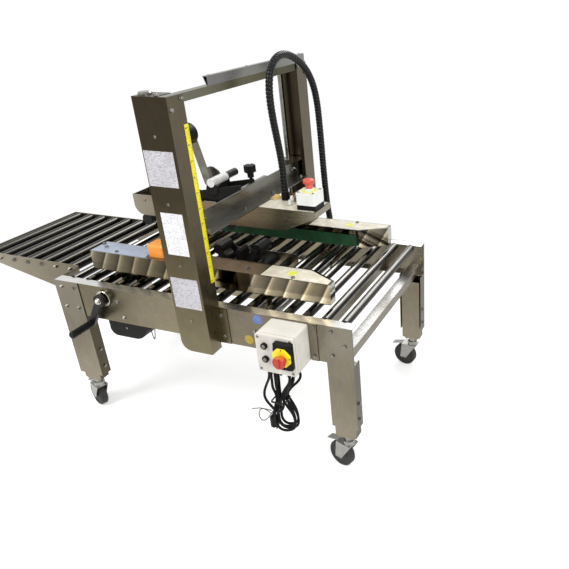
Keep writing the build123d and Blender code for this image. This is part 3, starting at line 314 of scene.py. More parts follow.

# Painted highlight on the roller tubes: a bright band where the surface turns up, darker again along the very
# top
rollerPaintedHighlight = [("Z", 0.62, 0.82, "#b4b2ac", 0.7), ("Z", 0.86, 0.97, "#35332f", 0.8)]
infeedPaintedHighlight = [("Z", 0.6, 0.8, "#77766f", 0.7), ("Z", 0.84, 0.94, "#2c2b28", 0.9)]
mouldedLooks = {  # darker tone, lighter tone, size of the patches in mm, roughness, more
    # ABS and nylon mouldings: satin black, kept off full black by dust; PVC sheath; nylon spiral wrap
    "blackPlastic": ("#0c0c0b", "#171615", 30, 0.42, {"skinMm": 1.2, "specular": 0.14}),
    "cableSheath": ("#090909", "#131312", 20, 0.42, {"specular": 0.12}),
    "spiralWrap": ("#090909", "#151514", 16, 0.24, {"skinMm": 1.2, "specular": 0.22}),
    # Solid rubber tyres: matt dark grey
    "tyreRubber": ("#242423", "#333230", 24, 0.62, {"skinMm": 1.0, "specular": 0.35}),
    # Tape head rollers: black rubber, and white nylon on the upper ones nearer the camera
    "headRollers": ("#131312", "#1e1d1c", 30, 0.44,
        {"skinMm": 1.0, "specular": 0.3, "split": (42, 885, "#c9c9c6", "#dededb")}),
    # Glossy dyed ABS of the pulley caps
    "orangeMoulding": ("#e88a1a", "#f39a2c", 40, 0.36, {"skinMm": 1.0, "coat": 0.3}),
    # Powder-coated box, its paler lid and rubber seam, white ABS
    "boxPaint": ("#d2cec4", "#dfdbd2", 60, 0.42, {"skinMm": 1.4}),
    "paleFacing": ("#bdb8b0", "#cfcbc3", 50, 0.4, {"skinMm": 1.2}),
    "seamGrey": ("#8f8b83", "#a09c94", 20, 0.6, {"skinMm": 1.0}),
    "whiteMoulding": ("#dfe2dc", "#ebede8", 40, 0.34, {"skinMm": 1.0}),
    # Dyed plastic of the switch and the stop button, and their yellow plates
    # The switch's up-facing faces take a painted orange highlight
    "redMoulding": ("#a5271a", "#bb3424", 20, 0.36, {"paintedLight": [("Z", 0.3, 0.9, "#df8a1e", 0.6)]}),
    "stopRed": ("#cc4e3c", "#de6350", 20, 0.34, {}),
    "yellowPlate": ("#dccc18", "#ece028", 30, 0.4, {}),
    "yellowCollar": ("#dfe07a", "#edea94", 30, 0.4, {}),
    # Zinc-plated pressed steel of the casters: blotchy and half matt
    "zincPlate": ("#8b8a86", "#a3a29d", 12, 0.36, {"skinMm": 0.7, "metallic": 1.0}),
    # Steel tube of the rollers: dark, with a painted highlight along the top
    "rollerSteel": ("#262422", "#3a3734", 45, 0.2, {"metallic": 1.0, "bump": 0.05, "paintedLight": rollerPaintedHighlight}),
    "infeedRollerSteel": ("#1f1e1c", "#2f2d2a", 45, 0.26,
        {"metallic": 1.0, "bump": 0.05, "paintedLight": infeedPaintedHighlight}),
    # Ground bar, bright turned steel, the reel's grey arm
    "groundSteel": ("#77756f", "#94928b", 18, 0.22, {"skinMm": 0.7, "metallic": 1.0, "bump": 0.05}),
    "brightSteel": ("#b9b6ae", "#d6d3cb", 18, 0.2, {"skinMm": 0.7, "metallic": 1.0, "bump": 0.05}),
    "armSteel": ("#6e6b62", "#8b887e", 30, 0.34, {"metallic": 1.0, "bump": 0.08}),
    # The crank's screw is grey inside the rail, its iron arm black outside it
    "crankIron": ("#7a7872", "#8d8b85", 20, 0.38,
        {"skinMm": 1.0, "metallic": 0.6, "split": (-365, 0, "#1f1c1a", "#2c2826")}),
    # Belts: green PVC over cloth, matt, with a coarse skin
    "beltRubber": ("#0a3418", "#124c27", 60, 0.55, {"skinMm": 1.6, "bump": 0.4}),
    # Film left on the covers, thin and shiny, and tinted scraps that let light through
    "creamFilm": ("#cdc5b0", "#e2dccb", 34, 0.24, {"skinMm": 3.0, "bump": 0.5}),
    "blueFilm": ("#7f8aa0", "#9aa4b5", 50, 0.24, {"skinMm": 3.0, "bump": 0.4}),
    "amberFilm": ("#c39a4a", "#e6c98a", 22, 0.2, {"skinMm": 2.0, "clear": 0.25}),
    "brownFilm": ("#5a3626", "#7d5540", 18, 0.2, {"skinMm": 2.0, "clear": 0.2}),
    # Printed stickers, ink and the grey tie wire
    "blueSticker": ("#4d64a6", "#6f82b6", 12, 0.4, {}),
    "ochreSticker": ("#97801f", "#b1962c", 14, 0.4, {}),
    "limeSticker": ("#c9cf3c", "#e2e46a", 14, 0.4, {}),
    "inkBlack": ("#22211c", "#2c2a24", 10, 0.6, {"skinMm": 0.6}),
    "tieGrey": ("#3c3b39", "#55534f", 10, 0.5, {"skinMm": 0.6}),
}
labelLooks = {
    "instructionLabel": {"panel": "#b9b6bb", "panelLight": "#c3c0c5", "line": "#a09da2", "lineMm": 0.5,
                         "panelMm": (54, 36), "smudge": "#6f6d74", "smudgeMm": (7, 2.6, 7), "depth": 0.85},
    "ratingLabel": {"panel": "#dcdbdd", "panelLight": "#e4e3e5", "line": "#b9b8bb", "lineMm": 0.5,
                    "panelMm": (82, 47), "smudge": "#8b8a92", "smudgeMm": (7, 2.6, 7), "depth": 0.75},
}

materials = {name: makeSteel(name, look) for name, look in steelLooks.items()}
materials.update({name: makeMoulded(name, row) for name, row in mouldedLooks.items()})
materials.update({name: makeLabel(name, look) for name, look in labelLooks.items()})
print("materials", len(materials))

corners = ("near_infeed", "far_infeed", "near_outfeed", "far_outfeed")
finishNodes = {
    "railSteel": "side_rails bed_cross_members bottom_tape_head",
    "infeedSteel": "infeed_frame",
    "legSteel": "infeed_legs outfeed_legs leg_extensions",
    "columnSteel": "columns",
    "beamSteel": "top_beam",
    "coverSteel": "chain_cover",
    "crossbarSteel": "head_crossbar lift_carriages",
    "headSteel": "head_housing",
    "driveSteel": "near_drive_cover far_drive_cover near_drive_frame far_drive_frame",
    "rollerSteel": "bed_rollers",
    "infeedRollerSteel": "infeed_rollers",
    "groundSteel": "screw_bearings lift_screws width_guide_rods",
    "armSteel": "reel_arm",
    "crankIron": "width_crank",
    "zincPlate": " ".join(corner + "_caster_fork" for corner in corners),
    "tyreRubber": " ".join(corner + "_caster_wheel" for corner in corners),
    "beltRubber": "near_drive_belt far_drive_belt",
    "orangeMoulding": "near_pulley_cap far_pulley_cap",
    "headRollers": "tape_head_rollers",
    "blackPlastic": "bottom_head_rollers drive_motor box_controls cable_glands mains_plug tape_head_plates "
                    "stop_box_base head_hose_gland tape_reel_hub crank_grip",
    "boxPaint": "control_box",
    "whiteMoulding": "stop_box_lid",
    "stopRed": "stop_button",
    "redMoulding": "switch_knob",
    "yellowPlate": "height_ruler",
}
for finishName, nodeNames in finishNodes.items():
    for nodeName in nodeNames.split():
        paint(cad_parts[nodeName].data, finishName)


# Cords. The points are the ones that the solids follow.

def routePoints(points):
    return [at(*point) for point in points]


def routeCurve(name, points, diameter, resolution=8):
    curve = bpy.data.curves.new(name, "CURVE")
    curve.dimensions = "3D"
    curve.resolution_u = resolution
    spline = curve.splines.new("NURBS")
    spline.points.add(len(points) - 1)
    for target, point in zip(spline.points, points):
        target.co = (*point, 1.0)
    spline.order_u = 3
    spline.use_endpoint_u = True
    curve.bevel_depth = diameter / 2
    curve.bevel_resolution = 4
    curve.use_fill_caps = True
    return newObject(name, curve)


def routeLine(points, resolution=16):  # the spline's own line, as close points along it
    bare = routeCurve("bareLine", points, 0.0, resolution)
    mesh = bpy.data.meshes.new_from_object(bare)
    line = [vertex.co.copy() for vertex in mesh.vertices]
    bpy.data.objects.remove(bare)
    return line


def lineLength(line):
    return sum((b - a).length for a, b in zip(line, line[1:]))


def tubeAlong(name, line, radiusAt, sides):  # rings square to the line, carried along without a twist
    vertices = []
    reach = 0.0
    sideWay = (line[1] - line[0]).orthogonal().normalized()
    for index, point in enumerate(line):
        ahead = (line[min(index + 1, len(line) - 1)] - line[max(index - 1, 0)]).normalized()
        sideWay = (sideWay - ahead * sideWay.dot(ahead)).normalized()
        otherWay = ahead.cross(sideWay)
        if index:
            reach += (point - line[index - 1]).length
        for step in range(sides):
            angle = 2 * math.pi * step / sides
            away = sideWay * math.cos(angle) + otherWay * math.sin(angle)
            vertices.append(point + away * radiusAt(reach, angle))
    faces = []
    for ring in range(len(line) - 1):
        for step in range(sides):
            a = ring * sides + step
            b = ring * sides + (step + 1) % sides
            faces.append((a, b, b + sides, a + sides))
    last = (len(line) - 1) * sides
    faces.append(tuple(range(sides - 1, -1, -1)))
    faces.append(tuple(range(last, last + sides)))
    mesh = bpy.data.meshes.new(name)
    mesh.from_pydata(vertices, [], faces)
    piece = newObject(name, mesh)
    makeActive(piece)
    bpy.ops.object.shade_smooth_by_angle(angle=math.radians(50))
    return piece


hose = {
    "diameter": 0.026,
    "wrapPitch": 0.0125,  # the spiral wrap's turns
    "wrapGap": 0.3,  # share of a turn that the gap between bands takes
    "wrapDepth": 0.0022,
    "sides": 20,
    "resolution": 34,
    "route": [
        (436, 44, 862), (436, 44, 925), (435, 41, 990), (435, 29, 1060), (436, 14, 1130), (436, 7, 1200),
        (437, 12, 1258), (437, 34, 1304), (437, 78, 1331), (437, 132, 1335), (437, 190, 1320),
        (437, 248, 1291), (437, 299, 1248), (437, 333, 1194), (437, 350, 1130), (436, 357, 1060),
        (436, 360, 980), (436, 361, 900), (436, 364, 820), (436, 368, 745), (436, 377, 682),
        (436, 386, 643), (436, 386, 610)],
}


def wrapRadius(reach, angle):  # flat bands with a rounded gap that winds round the hose
    phase = (reach / hose["wrapPitch"] - angle / (2 * math.pi)) % 1
    fromGap = min(phase, 1 - phase)
    if fromGap >= hose["wrapGap"] / 2:
        return hose["diameter"] / 2
    return hose["diameter"] / 2 - hose["wrapDepth"] * math.cos(math.pi * fromGap / hose["wrapGap"])


def makeHose():
    points = routePoints(hose["route"])
    line = routeLine(points, hose["resolution"])
    piece = tubeAlong("headHose", line, wrapRadius, hose["sides"])
    paint(piece.data, "spiralWrap")
    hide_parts("head_hose")
    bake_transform(piece)


# The mains lead drops from its gland, turns back and runs into the hank. The hank's turns hang side
# by side over the hook, are drawn in at the waist and fan out again below.
lead = {
    "diameter": 0.009,
    "drop": [
        (588, -425, 425), (588, -425, 404), (577, -423, 376), (562, -420, 347), (550, -417, 320),
        (545, -414, 300), (545, -412, 285), (551, -411, 270), (564, -413, 259), (582, -422, 253),
        (602, -434, 255), (619, -438, 265), (629, -433, 282)],
    "tail": [(588, -398, 268), (578, -401, 247), (571, -407, 232), (569, -410, 222), (569, -410, 214)],
    "hookTop": 431,
    "waistX": 611,
    "waistY": -410,
    "gap": 9.4,  # from one strand to the next
    "turns": [  # half width above on the left and right, below on the left and right, lowest z
        (18, 53, 24, 48, 175), (10, 48, 15, 43, 187), (16, 57, 25, 50, 172), (9, 50, 16, 44, 184),
        (19, 73, 0, 0, 0)],
    "corner": 0.29,  # of a lobe's width: where the corners of half an octagon stand
    "lean": (0.32, 0.12, 0.4),  # shares of a strand's way out from the waist and back
    "rise": (310, 342, 374),  # heights on the way up the right side
    "fall": (374, 348, 318, 292, 262),  # on the way down the left side
    "back": (243, 277),  # on the way back to the waist
    "relief": {"within": 60, "bottom": 388, "root": 0.0084, "taper": 0.0032, "rib": 0.0005, "ribs": 7,
               "sides": 24},
}


def hankPoints():  # each lobe's corners are those of half an octagon, so its curve stays round
    gap = lead["gap"]
    middle = lead["waistX"]
    top = lead["hookTop"]
    corner = lead["corner"]
    outFirst, outNext, inLast = lead["lean"]
    rise = lead["rise"]
    fall = lead["fall"]
    back = lead["back"]
    points = []
    count = len(lead["turns"])
    for turn, (upLeft, upRight, lowLeft, lowRight, lowest) in enumerate(lead["turns"]):
        plane = lead["waistY"] + gap * (turn - (count - 1) / 2)
        row = lead["waistY"] + gap * (turn // 2 - 1)
        column = gap * (1.5 if turn % 2 == 0 else 0.5)
        cut = corner * (upLeft + upRight)
        right = middle + upRight
        left = middle - upLeft
        spread = upRight - column
        points += [
            (middle + column, row, rise[0]), (middle + column + outFirst * spread, row, rise[1]),
            (right - outNext * spread, plane, rise[2]), (right, plane, top - cut), (right - cut, plane, top),
            (left + cut, plane, top), (left, plane, top - cut), (left, plane, fall[0]),
            (left - 1, plane, fall[1]), (middle - column, row, fall[2]), (middle - column, row, fall[3])]
        if turn == count - 1:
            break
        width = lowLeft + lowRight
        cut = corner * width
        right = middle + lowRight
        left = middle - lowLeft
        nextColumn = gap * (1.5 if turn % 2 else 0.5)
        spread = lowRight - nextColumn
        points += [
            (left + 1, plane, fall[4]), (left, plane, lowest + 0.75 * width), (left, plane, lowest + cut),
            (left + cut, plane, lowest), (right - cut, plane + gap, lowest),
            (right, plane + gap, lowest + cut), (right - 2, plane + gap, back[0]),
            (middle + nextColumn + inLast * spread, plane + gap, back[1])]
    return points


def makeLead():
    points = routePoints(lead["drop"] + hankPoints() + lead["tail"])
    line = routeLine(points)
    piece = routeCurve("mainsLead", points, lead["diameter"])
    paint(piece.data, "cableSheath")
    look = lead["relief"]
    reliefLine = [point for point in line[:look["within"]] if point.z > look["bottom"] * mm]
    reliefLength = lineLength(reliefLine)

    def reliefRadius(reach, angle):  # tapers down to the lead, with soft ribs
        share = reach / reliefLength
        rib = look["rib"] * math.cos(2 * math.pi * look["ribs"] * share)
        return look["root"] - look["taper"] * share + rib

    relief = tubeAlong("leadRelief", reliefLine, reliefRadius, look["sides"])
    paint(relief.data, "blackPlastic")
    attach(relief, "bed")
    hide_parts("mains_lead", "mains_hank")
    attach(piece, "bed")


makeHose()
makeLead()
print("cords")


# Helpers for modelled pieces

faceWays = {"right": (1, 0, 0), "near": (0, -1, 0), "far": (0, 1, 0), "up": (0, 0, 1), "down": (0, 0, -1)}
otherSide = {"near": "far", "far": "near"}


def soften(piece, width, steps):  # breaks every edge of a piece
    bevel = piece.modifiers.new("edges", "BEVEL")
    bevel.width = width * mm
    bevel.segments = steps
    bpy.ops.object.modifier_apply(modifier="edges")
    return piece


def faceOutward():  # in edit mode
    bpy.ops.mesh.select_all(action="SELECT")
    bpy.ops.mesh.normals_make_consistent(inside=False)


def turned(rings, sides):  # a turned part about +Z: each ring is (radius, height), from the seat up
    deselectAll()
    bpy.ops.mesh.primitive_circle_add(vertices=sides, radius=rings[0][0] * mm, fill_type="NGON",
                                      location=(0, 0, rings[0][1] * mm))
    piece = bpy.context.object
    bpy.ops.object.transform_apply(location=True, rotation=True, scale=True)
    bpy.ops.object.mode_set(mode="EDIT")
    bpy.ops.mesh.select_all(action="SELECT")
    for (radius, height), (nextRadius, nextHeight) in zip(rings, rings[1:]):
        bpy.ops.mesh.extrude_region_move(
            TRANSFORM_OT_translate={"value": (0, 0, (nextHeight - height) * mm)})
        grow = nextRadius / radius
        bpy.ops.transform.resize(value=(grow, grow, 1), center_override=(0, 0, nextHeight * mm))
    faceOutward()
    bpy.ops.object.mode_set(mode="OBJECT")
    return piece


def boxed(low, high, bevel, steps):  # a box between two corners with its edges broken
    deselectAll()
    lowest = at(*low)
    highest = at(*high)
    bpy.ops.mesh.primitive_cube_add(size=1, location=(lowest + highest) / 2, scale=highest - lowest)
    bpy.ops.object.transform_apply(location=True, rotation=True, scale=True)
    return soften(bpy.context.object, bevel, steps)


def insetFace(piece, way, thickness, depth):  # insets the flat face that looks one way
    makeActive(piece)
    wanted = Vector(faceWays[way])
    bpy.ops.object.mode_set(mode="EDIT")
    bpy.ops.mesh.select_mode(type="FACE")
    bpy.ops.mesh.select_all(action="DESELECT")
    bpy.ops.object.mode_set(mode="OBJECT")
    largest = max((face for face in piece.data.polygons if face.normal.dot(wanted) > 0.99),
                  key=lambda face: face.area)
    largest.select = True
    bpy.ops.object.mode_set(mode="EDIT")
    bpy.ops.mesh.inset(thickness=thickness * mm, depth=depth * mm)
    bpy.ops.object.mode_set(mode="OBJECT")
    return piece


def facing(way, spin):
    wanted = Vector(faceWays[way])
    turn = Vector((0, 0, 1)).rotation_difference(wanted).to_matrix().to_4x4()
    return turn @ Matrix.Rotation(math.radians(spin), 4, "Z")


def joinAll(parts):
    makeActive(*parts)
    if len(parts) > 1:
        bpy.ops.object.join()
    return bpy.context.object


def stamp(master, places):  # a copy at each (x, y, z, way, spin), joined, and the master removed
    copies = []
    for x, y, z, way, spin in places:
        copy = master.copy()
        copy.data = master.data.copy()
        bpy.context.collection.objects.link(copy)
        copy.data.transform(Matrix.Translation(at(x, y, z)) @ facing(way, spin))
        copies.append(copy)
    bpy.data.objects.remove(master)
    return joinAll(copies)


def farSide(places):
    return [(x, -y, z, otherSide.get(way, way), spin) for x, y, z, way, spin in places]


def bothSides(places):
    return places + farSide(places)


def finish(piece, name, body, finishName, angle=35):
    piece.name = name
    piece.data.name = name
    paint(piece.data, finishName)
    makeActive(piece)
    bpy.ops.object.shade_smooth_by_angle(angle=math.radians(angle))
    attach(piece, body)
    return piece


def makeTurned(pieces, **common):  # turned parts, each stamped at its places
    for name, own in pieces.items():
        look = {**common, **own}
        piece = stamp(turned(**look["shape"]), look["places"])
        finish(piece, name, look["body"], look["finish"])


def makeBoxed(pieces, **common):  # parts built of boxes, with one face inset
    for name, own in pieces.items():
        look = {**common, **own}
        piece = joinAll([boxed(low, high, *look["bevel"]) for low, high in look["boxes"]])
        if "inset" in look:
            insetFace(piece, *look["inset"])
        finish(piece, name, look["body"], look["finish"])


# Fasteners

hexBolt = {"sides": 6, "rings": [
    (8, 0), (8, 1.2), (7.6, 1.6), (6.2, 1.6), (6.2, 5.0), (5.4, 5.8), (3.4, 5.8), (3.0, 5.2)]}
panScrew = {"sides": 16, "rings": [(5.2, 0), (5.2, 0.8), (4.6, 2.0), (3.0, 2.8), (2.2, 2.9), (2.0, 2.1)]}
axleNut = {"sides": 6, "rings": [
    (9.5, 0), (9.5, 1.2), (7.8, 1.4), (7.8, 6.0), (6.8, 7.0), (4.2, 7.0), (4.2, 9.5), (3.4, 10.2)]}
collarNut = {"sides": 6, "rings": [(8.4, 0), (8.4, 6.0), (7.6, 7.0), (5.4, 7.0)]}

railFace = -365
plateFace = -368
columnFace = -419
driveTop = 683
infeedAxles = [-394 - 74.5 * index for index in range(7)]
bedAxles = [823 - 70 * index for index in range(17)]
driveBolts = [(x, y, driveTop, "up", spin) for x, y, spin in (
    (-221, -215, 6), (-191, -236, 21), (429, -241, 0), (618, -268, 12), (-120, -262, 8))]

fasteners = {
    "legBolts": {"shape": hexBolt, "places": bothSides([
        (734, -371, 575, "near", 10), (730, -371, 466, "near", 25), (794, plateFace, 566, "near", 5),
        (794, plateFace, 477, "near", 20), (839, plateFace, 520, "near", 12),
        (-320, plateFace, 560, "near", 8), (-262, plateFace, 560, "near", 22),
        (-320, plateFace, 478, "near", 3), (-262, plateFace, 478, "near", 17),
        (-237, -345, 287, "right", 0), (-237, -345, 212, "right", 14), (866, -345, 290, "right", 9),
        (866, -345, 226, "right", 21)])},
    "columnScrews": {"shape": panScrew, "places": bothSides(
        [(300, columnFace, z, "near", 0) for z in (1163, 956.5, 750.6, 548)])},
    "columnBolts": {"shape": hexBolt, "places": bothSides([
        (363, -405, 1238, "right", 4), (363, -355, 1265, "right", 18), (386, plateFace, 556, "near", 7),
        (386, plateFace, 478, "near", 24), (275, -372, 1277, "up", 12), (318, -405, 1277, "up", 3)])},
    "beamScrews": {"shape": panScrew, "places": [
        (351, y, 1306, "up", 0) for y in (-195, 20, 220, 395)]},
    "headBolts": {"body": "head", "shape": hexBolt, "places": bothSides([
        (325, -318, 872, "right", 5), (325, -292, 872, "right", 20), (352, -320, 839, "up", 9),
        (352, -96, 839, "up", 2)])},
    "headScrews": {"body": "head", "shape": panScrew, "places": bothSides([
        (-130, -60, 815, "near", 0), (300, -60, 815, "near", 0), (560, -60, 826, "near", 0),
        (372, -52, 836, "up", 0)])},
    "nearDriveBolts": {"body": "near_drive", "shape": hexBolt, "places": driveBolts},
    "farDriveBolts": {"body": "far_drive", "shape": hexBolt, "places": farSide(driveBolts)},
    "infeedNuts": {"shape": axleNut, "places": bothSides(
        [(x, -250, 571, "near", 11 * index) for index, x in enumerate(infeedAxles)])},
    "rollerNuts": {"shape": collarNut, "places": bothSides(
        [(x, -361.8, 575, "far", 13 * index) for index, x in enumerate(bedAxles)])},
    "motorBolts": {"shape": panScrew, "places": [
        (-66, -350, 417, "near", 0), (-66, -232, 417, "far", 0)]},
    "railBolts": {"shape": hexBolt, "places": bothSides([
        (-64, railFace, 534, "near", 0), (508, railFace, 515, "near", 15), (-52, railFace, 470, "near", 8)])},
    "casterBolts": {"shape": hexBolt, "places": bothSides([
        (x + dx, -345.5 + dy, 147, "down", 7)
        for x in (-293, 818.5) for dx in (-22, 22) for dy in (-13, 13)])},
    "boxScrews": {"shape": panScrew, "places": [
        (x, -466, z, "near", 0) for x in (587, 702) for z in (451, 568)]},
    "stopBoxScrews": {"body": "head", "shape": panScrew, "places": [
        (x, y, 898, "up", 0) for x in (537, 595) for y in (-39, 19)]},
}
makeTurned(fasteners, body="bed", finish="groundSteel", slot="zinc")
print("fasteners", len(fasteners))


# Column: labels and the ruler's scale

labels = {
    "upperLabel": {"boxes": [((244, -419.5, 1012), (352, -419, 1121))], "finish": "instructionLabel"},
    "middleLabel": {"boxes": [((262, -419.5, 787), (344, -419, 928))], "finish": "ratingLabel"},
    "lowerLabel": {"boxes": [((249, -419.5, 595), (354, -419, 705))], "finish": "instructionLabel"},
}
ruler = {
    "face": 364.5, "near": -363, "far": -344, "firstTick": 679, "top": 1190,
    "step": 5, "short": 5, "long": 9, "line": 0.9, "proud": 0.25, "margin": 0.5, "topMargin": 4,
    "numberStep": 50, "numberHeight": 8.5, "numberDrop": 3, "numberMargin": 1, "firstNumber": 10,
    "numberRise": 5,
}


def makeRuler():
    face = ruler["face"]
    low = ruler["firstTick"]
    tickEnd = ruler["far"] - ruler["margin"]
    ticks = []
    for index in range(int((ruler["top"] - low - ruler["topMargin"]) / ruler["step"])):
        z = low + index * ruler["step"]
        reach = ruler["long"] if index % 2 == 0 else ruler["short"]
        ticks.append(boxed((face, ruler["far"] - reach, z),
                           (face + ruler["proud"], tickEnd, z + ruler["line"]), 0.1, 1))
    finish(joinAll(ticks), "rulerTicks", "bed", "inkBlack")
    numbers = []
    toFace = Matrix(((0, 0, 1, 0), (1, 0, 0, 0), (0, 1, 0, 0), (0, 0, 0, 1)))  # text X to Y, Y to Z
    for index in range(int((ruler["top"] - low) / ruler["numberStep"]) + 1):
        deselectAll()
        bpy.ops.object.text_add(location=(0, 0, 0))
        text = bpy.context.object
        text.data.body = str(ruler["firstNumber"] + ruler["numberRise"] * index)
        text.data.size = ruler["numberHeight"] * mm
        text.data.extrude = ruler["proud"] / 2 * mm
        bpy.ops.object.convert(target="MESH")
        text = bpy.context.object
        place = at(face + ruler["proud"] / 2, ruler["near"] + ruler["numberMargin"],
                   low + index * ruler["numberStep"] - ruler["numberDrop"])
        text.data.transform(Matrix.Translation(place) @ toFace)
        numbers.append(text)
    finish(joinAll(numbers), "rulerNumbers", "bed", "inkBlack", 20)


# Films left on the covers, stickers and tabs

filmThickness = 0.35
films = {
    "headFilm": {"outline": ((356, -57), (600, -57), (600, 57), (382, 57)), "z": 836, "body": "head",
                 "finish": "creamFilm"},
    "nearDriveFilm": {"outline": ((500, -277), (749, -277), (749, -250), (650, -196), (500, -196)),
                      "z": 683, "body": "near_drive", "finish": "creamFilm"},
    "farDriveFilm": {"outline": ((440, 194), (650, 194), (749, 250), (749, 277), (440, 277)),
                     "z": 683, "body": "far_drive", "finish": "creamFilm"},
    "infeedDriveFilm": {"outline": ((-226, -277), (18, -277), (6, -194), (-226, -194)),
                        "z": 683, "body": "near_drive", "finish": "blueFilm"},
}


def flatSheet(outline, z, thick):  # a flat circle with as many corners, moved to an outline
    deselectAll()
    bpy.ops.mesh.primitive_circle_add(vertices=len(outline), radius=mm, fill_type="NGON")
    piece = bpy.context.object
    bpy.ops.object.transform_apply(location=True, rotation=True, scale=True)
    for vertex, (x, y) in zip(piece.data.vertices, outline):
        vertex.co = at(x, y, z)
    bpy.ops.object.mode_set(mode="EDIT")
    faceOutward()
    bpy.ops.mesh.extrude_region_move(TRANSFORM_OT_translate={"value": (0, 0, thick * mm)})
    faceOutward()
    bpy.ops.object.mode_set(mode="OBJECT")
    return soften(piece, thick / 3, 1)


def makeFilms():
    for name, look in films.items():
        piece = flatSheet(look["outline"], look["z"], filmThickness)
        finish(piece, name, look["body"], look["finish"])


stickerDisc = {"sides": 32, "rings": [(17, 0), (17, 0.3), (16, 0.5), (13, 0.5), (12.4, 0.35)]}
stickers = {
    "blueSticker": {"places": [(525, railFace, 563, "near", 0)], "body": "bed", "finish": "blueSticker"},
    "ochreSticker": {"places": [(481, railFace, 478, "near", 0)], "body": "bed", "finish": "ochreSticker"},
    "nearLimeSticker": {"places": [(598, -236, 683.3, "up", 0)], "body": "near_drive",
                        "finish": "limeSticker"},
    "farLimeSticker": {"places": [(598, 236, 683.3, "up", 0)], "body": "far_drive", "finish": "limeSticker"},
}

tabShape = {"z": 836.4, "columns": 10, "rows": 6, "thickness": 0.6,
            "arch": 0.55, "curl": 0.45, "stuck": 0.35}  # shares of the rise
tabs = {
    "nearAmberTab": {"outline": ((366, 34), (402, 26), (416, 50), (376, 58)), "rise": 14,
                     "finish": "amberFilm"},
    "middleBrownTab": {"outline": ((452, 26), (492, 22), (496, 44), (458, 50)), "rise": 30,
                       "finish": "brownFilm"},
    "farBrownTab": {"outline": ((498, 20), (528, 16), (530, 38), (500, 44)), "rise": 32,
                    "finish": "brownFilm"},
}


def makeTabs():  # scraps of tinted film that stand up off the cover where they were peeled
    stuck = tabShape["stuck"]
    for name, look in tabs.items():
        deselectAll()
        bpy.ops.mesh.primitive_grid_add(x_subdivisions=tabShape["columns"], y_subdivisions=tabShape["rows"],
                                        size=1)
        piece = bpy.context.object
        bpy.ops.object.transform_apply(location=True, rotation=True, scale=True)
        corners = [Vector(corner) for corner in look["outline"]]
        for vertex in piece.data.vertices:
            u = vertex.co.x + 0.5
            v = vertex.co.y + 0.5
            spot = corners[0].lerp(corners[1], u).lerp(corners[3].lerp(corners[2], u), v)
            curl = math.sin(math.pi * u) * tabShape["arch"] + tabShape["curl"] * v * v
            vertex.co = at(spot.x, spot.y, tabShape["z"] + look["rise"] * curl * (stuck + (1 - stuck) * v))
        solid = piece.modifiers.new("thickness", "SOLIDIFY")
        solid.thickness = tabShape["thickness"] * mm
        solid.offset = 1.0
        bpy.ops.object.modifier_apply(modifier="thickness")
        finish(piece, name, "head", look["finish"], 60)


makeBoxed(labels, body="bed", slot="white_plastic", bevel=(0.2, 1), inset=("near", 2.0, -0.08))
makeRuler()
makeFilms()
makeTurned(stickers, slot="yellow_tape", shape=stickerDisc)
makeTabs()
print("labels and films")


# Emergency stop: a mushroom button with a lipped rim, and a yellow ring on the lid

stopLook = {
    "centre": (566, -10), "lidTop": 898,
    "button": [(17, 924), (19.4, 925.5), (20, 928), (20, 930), (18.6, 930.8), (18.6, 932), (20, 933),
               (19.6, 936.5), (17, 939), (12, 940.6), (5, 941)],
    "stem": [(12.8, 887), (12.8, 925), (12.0, 926)],
    "ring": [(29, 0), (29, 0.9), (28, 1.6), (20, 1.6)],
}


def makeStop():
    x, y = stopLook["centre"]
    parts = [turned(stopLook["button"], 48), turned(stopLook["stem"], 32)]
    piece = stamp(joinAll(parts), [(x, y, 0, "up", 0)])
    finish(piece, "stopMushroom", "stop_button", "stopRed", 40)
    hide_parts("stop_button")
    ring = stamp(turned(stopLook["ring"], 48), [(x, y, stopLook["lidTop"], "up", 0)])
    finish(ring, "stopRing", "head", "yellowCollar")


# Control box: lid facing, seam, switch plate with its marks, handle, button rings

boxParts = {
    "boxLid": {"boxes": [((578, -467.2, 442), (711, -465.5, 577))], "bevel": (1.0, 2),
               "inset": ("near", 5, -0.3), "finish": "paleFacing", "slot": "box_paint"},
    "boxSeam": {"boxes": [((576.7, -455, 440.7), (712.3, -453, 578.3))], "bevel": (2.5, 3),
                "finish": "seamGrey", "slot": "box_paint"},
    "switchBack": {"boxes": [((650, -486.4, 474), (713, -465, 567))], "bevel": (4, 3),
                   "inset": ("near", 3, -0.6), "finish": "blackPlastic", "slot": "black_plastic"},
    "switchMarks": {
        "boxes": [((678, -488.2, 544), (681, -487.6, 550)), ((705, -488.2, 518), (711, -487.6, 521))],
        "bevel": (0.2, 1), "finish": "inkBlack", "slot": "black_plastic"},
}
boxTurned = {
    "switchPlate": {
        "shape": {"sides": 8, "rings": [(35, 0), (35, 1.2), (34, 2.0), (29, 2.0), (28.4, 1.6)]},
        "places": [(679, -485.8, 519, "near", 22.5)], "finish": "yellowPlate", "slot": "yellow_tape"},
    "buttonRings": {
        "shape": {"sides": 32, "rings": [(11.4, 0), (11.4, 1.6), (10.4, 2.6), (7.4, 2.6), (6.6, 1.4)]},
        "places": [(610, -473, z, "near", 0) for z in (540, 492)],
        "finish": "blackPlastic", "slot": "black_plastic"},
    "buttonCaps": {
        "shape": {"sides": 24, "rings": [(6.4, 0), (6.4, 2.0), (5.4, 2.8), (2.0, 2.9)]},
        "places": [(610, -474.4, z, "near", 0) for z in (540, 492)], "finish": "armSteel", "slot": "zinc"},
}
switchLook = {
    "knob": [(16, 0), (15.5, 12), (20.4, 13), (21, 14.5), (21, 23), (19.5, 25), (12, 25.4)],
    "place": (680, -487, 514, "near", 0),
    "handle": ((675, -516, 495), (685, -511.5, 533)),
}


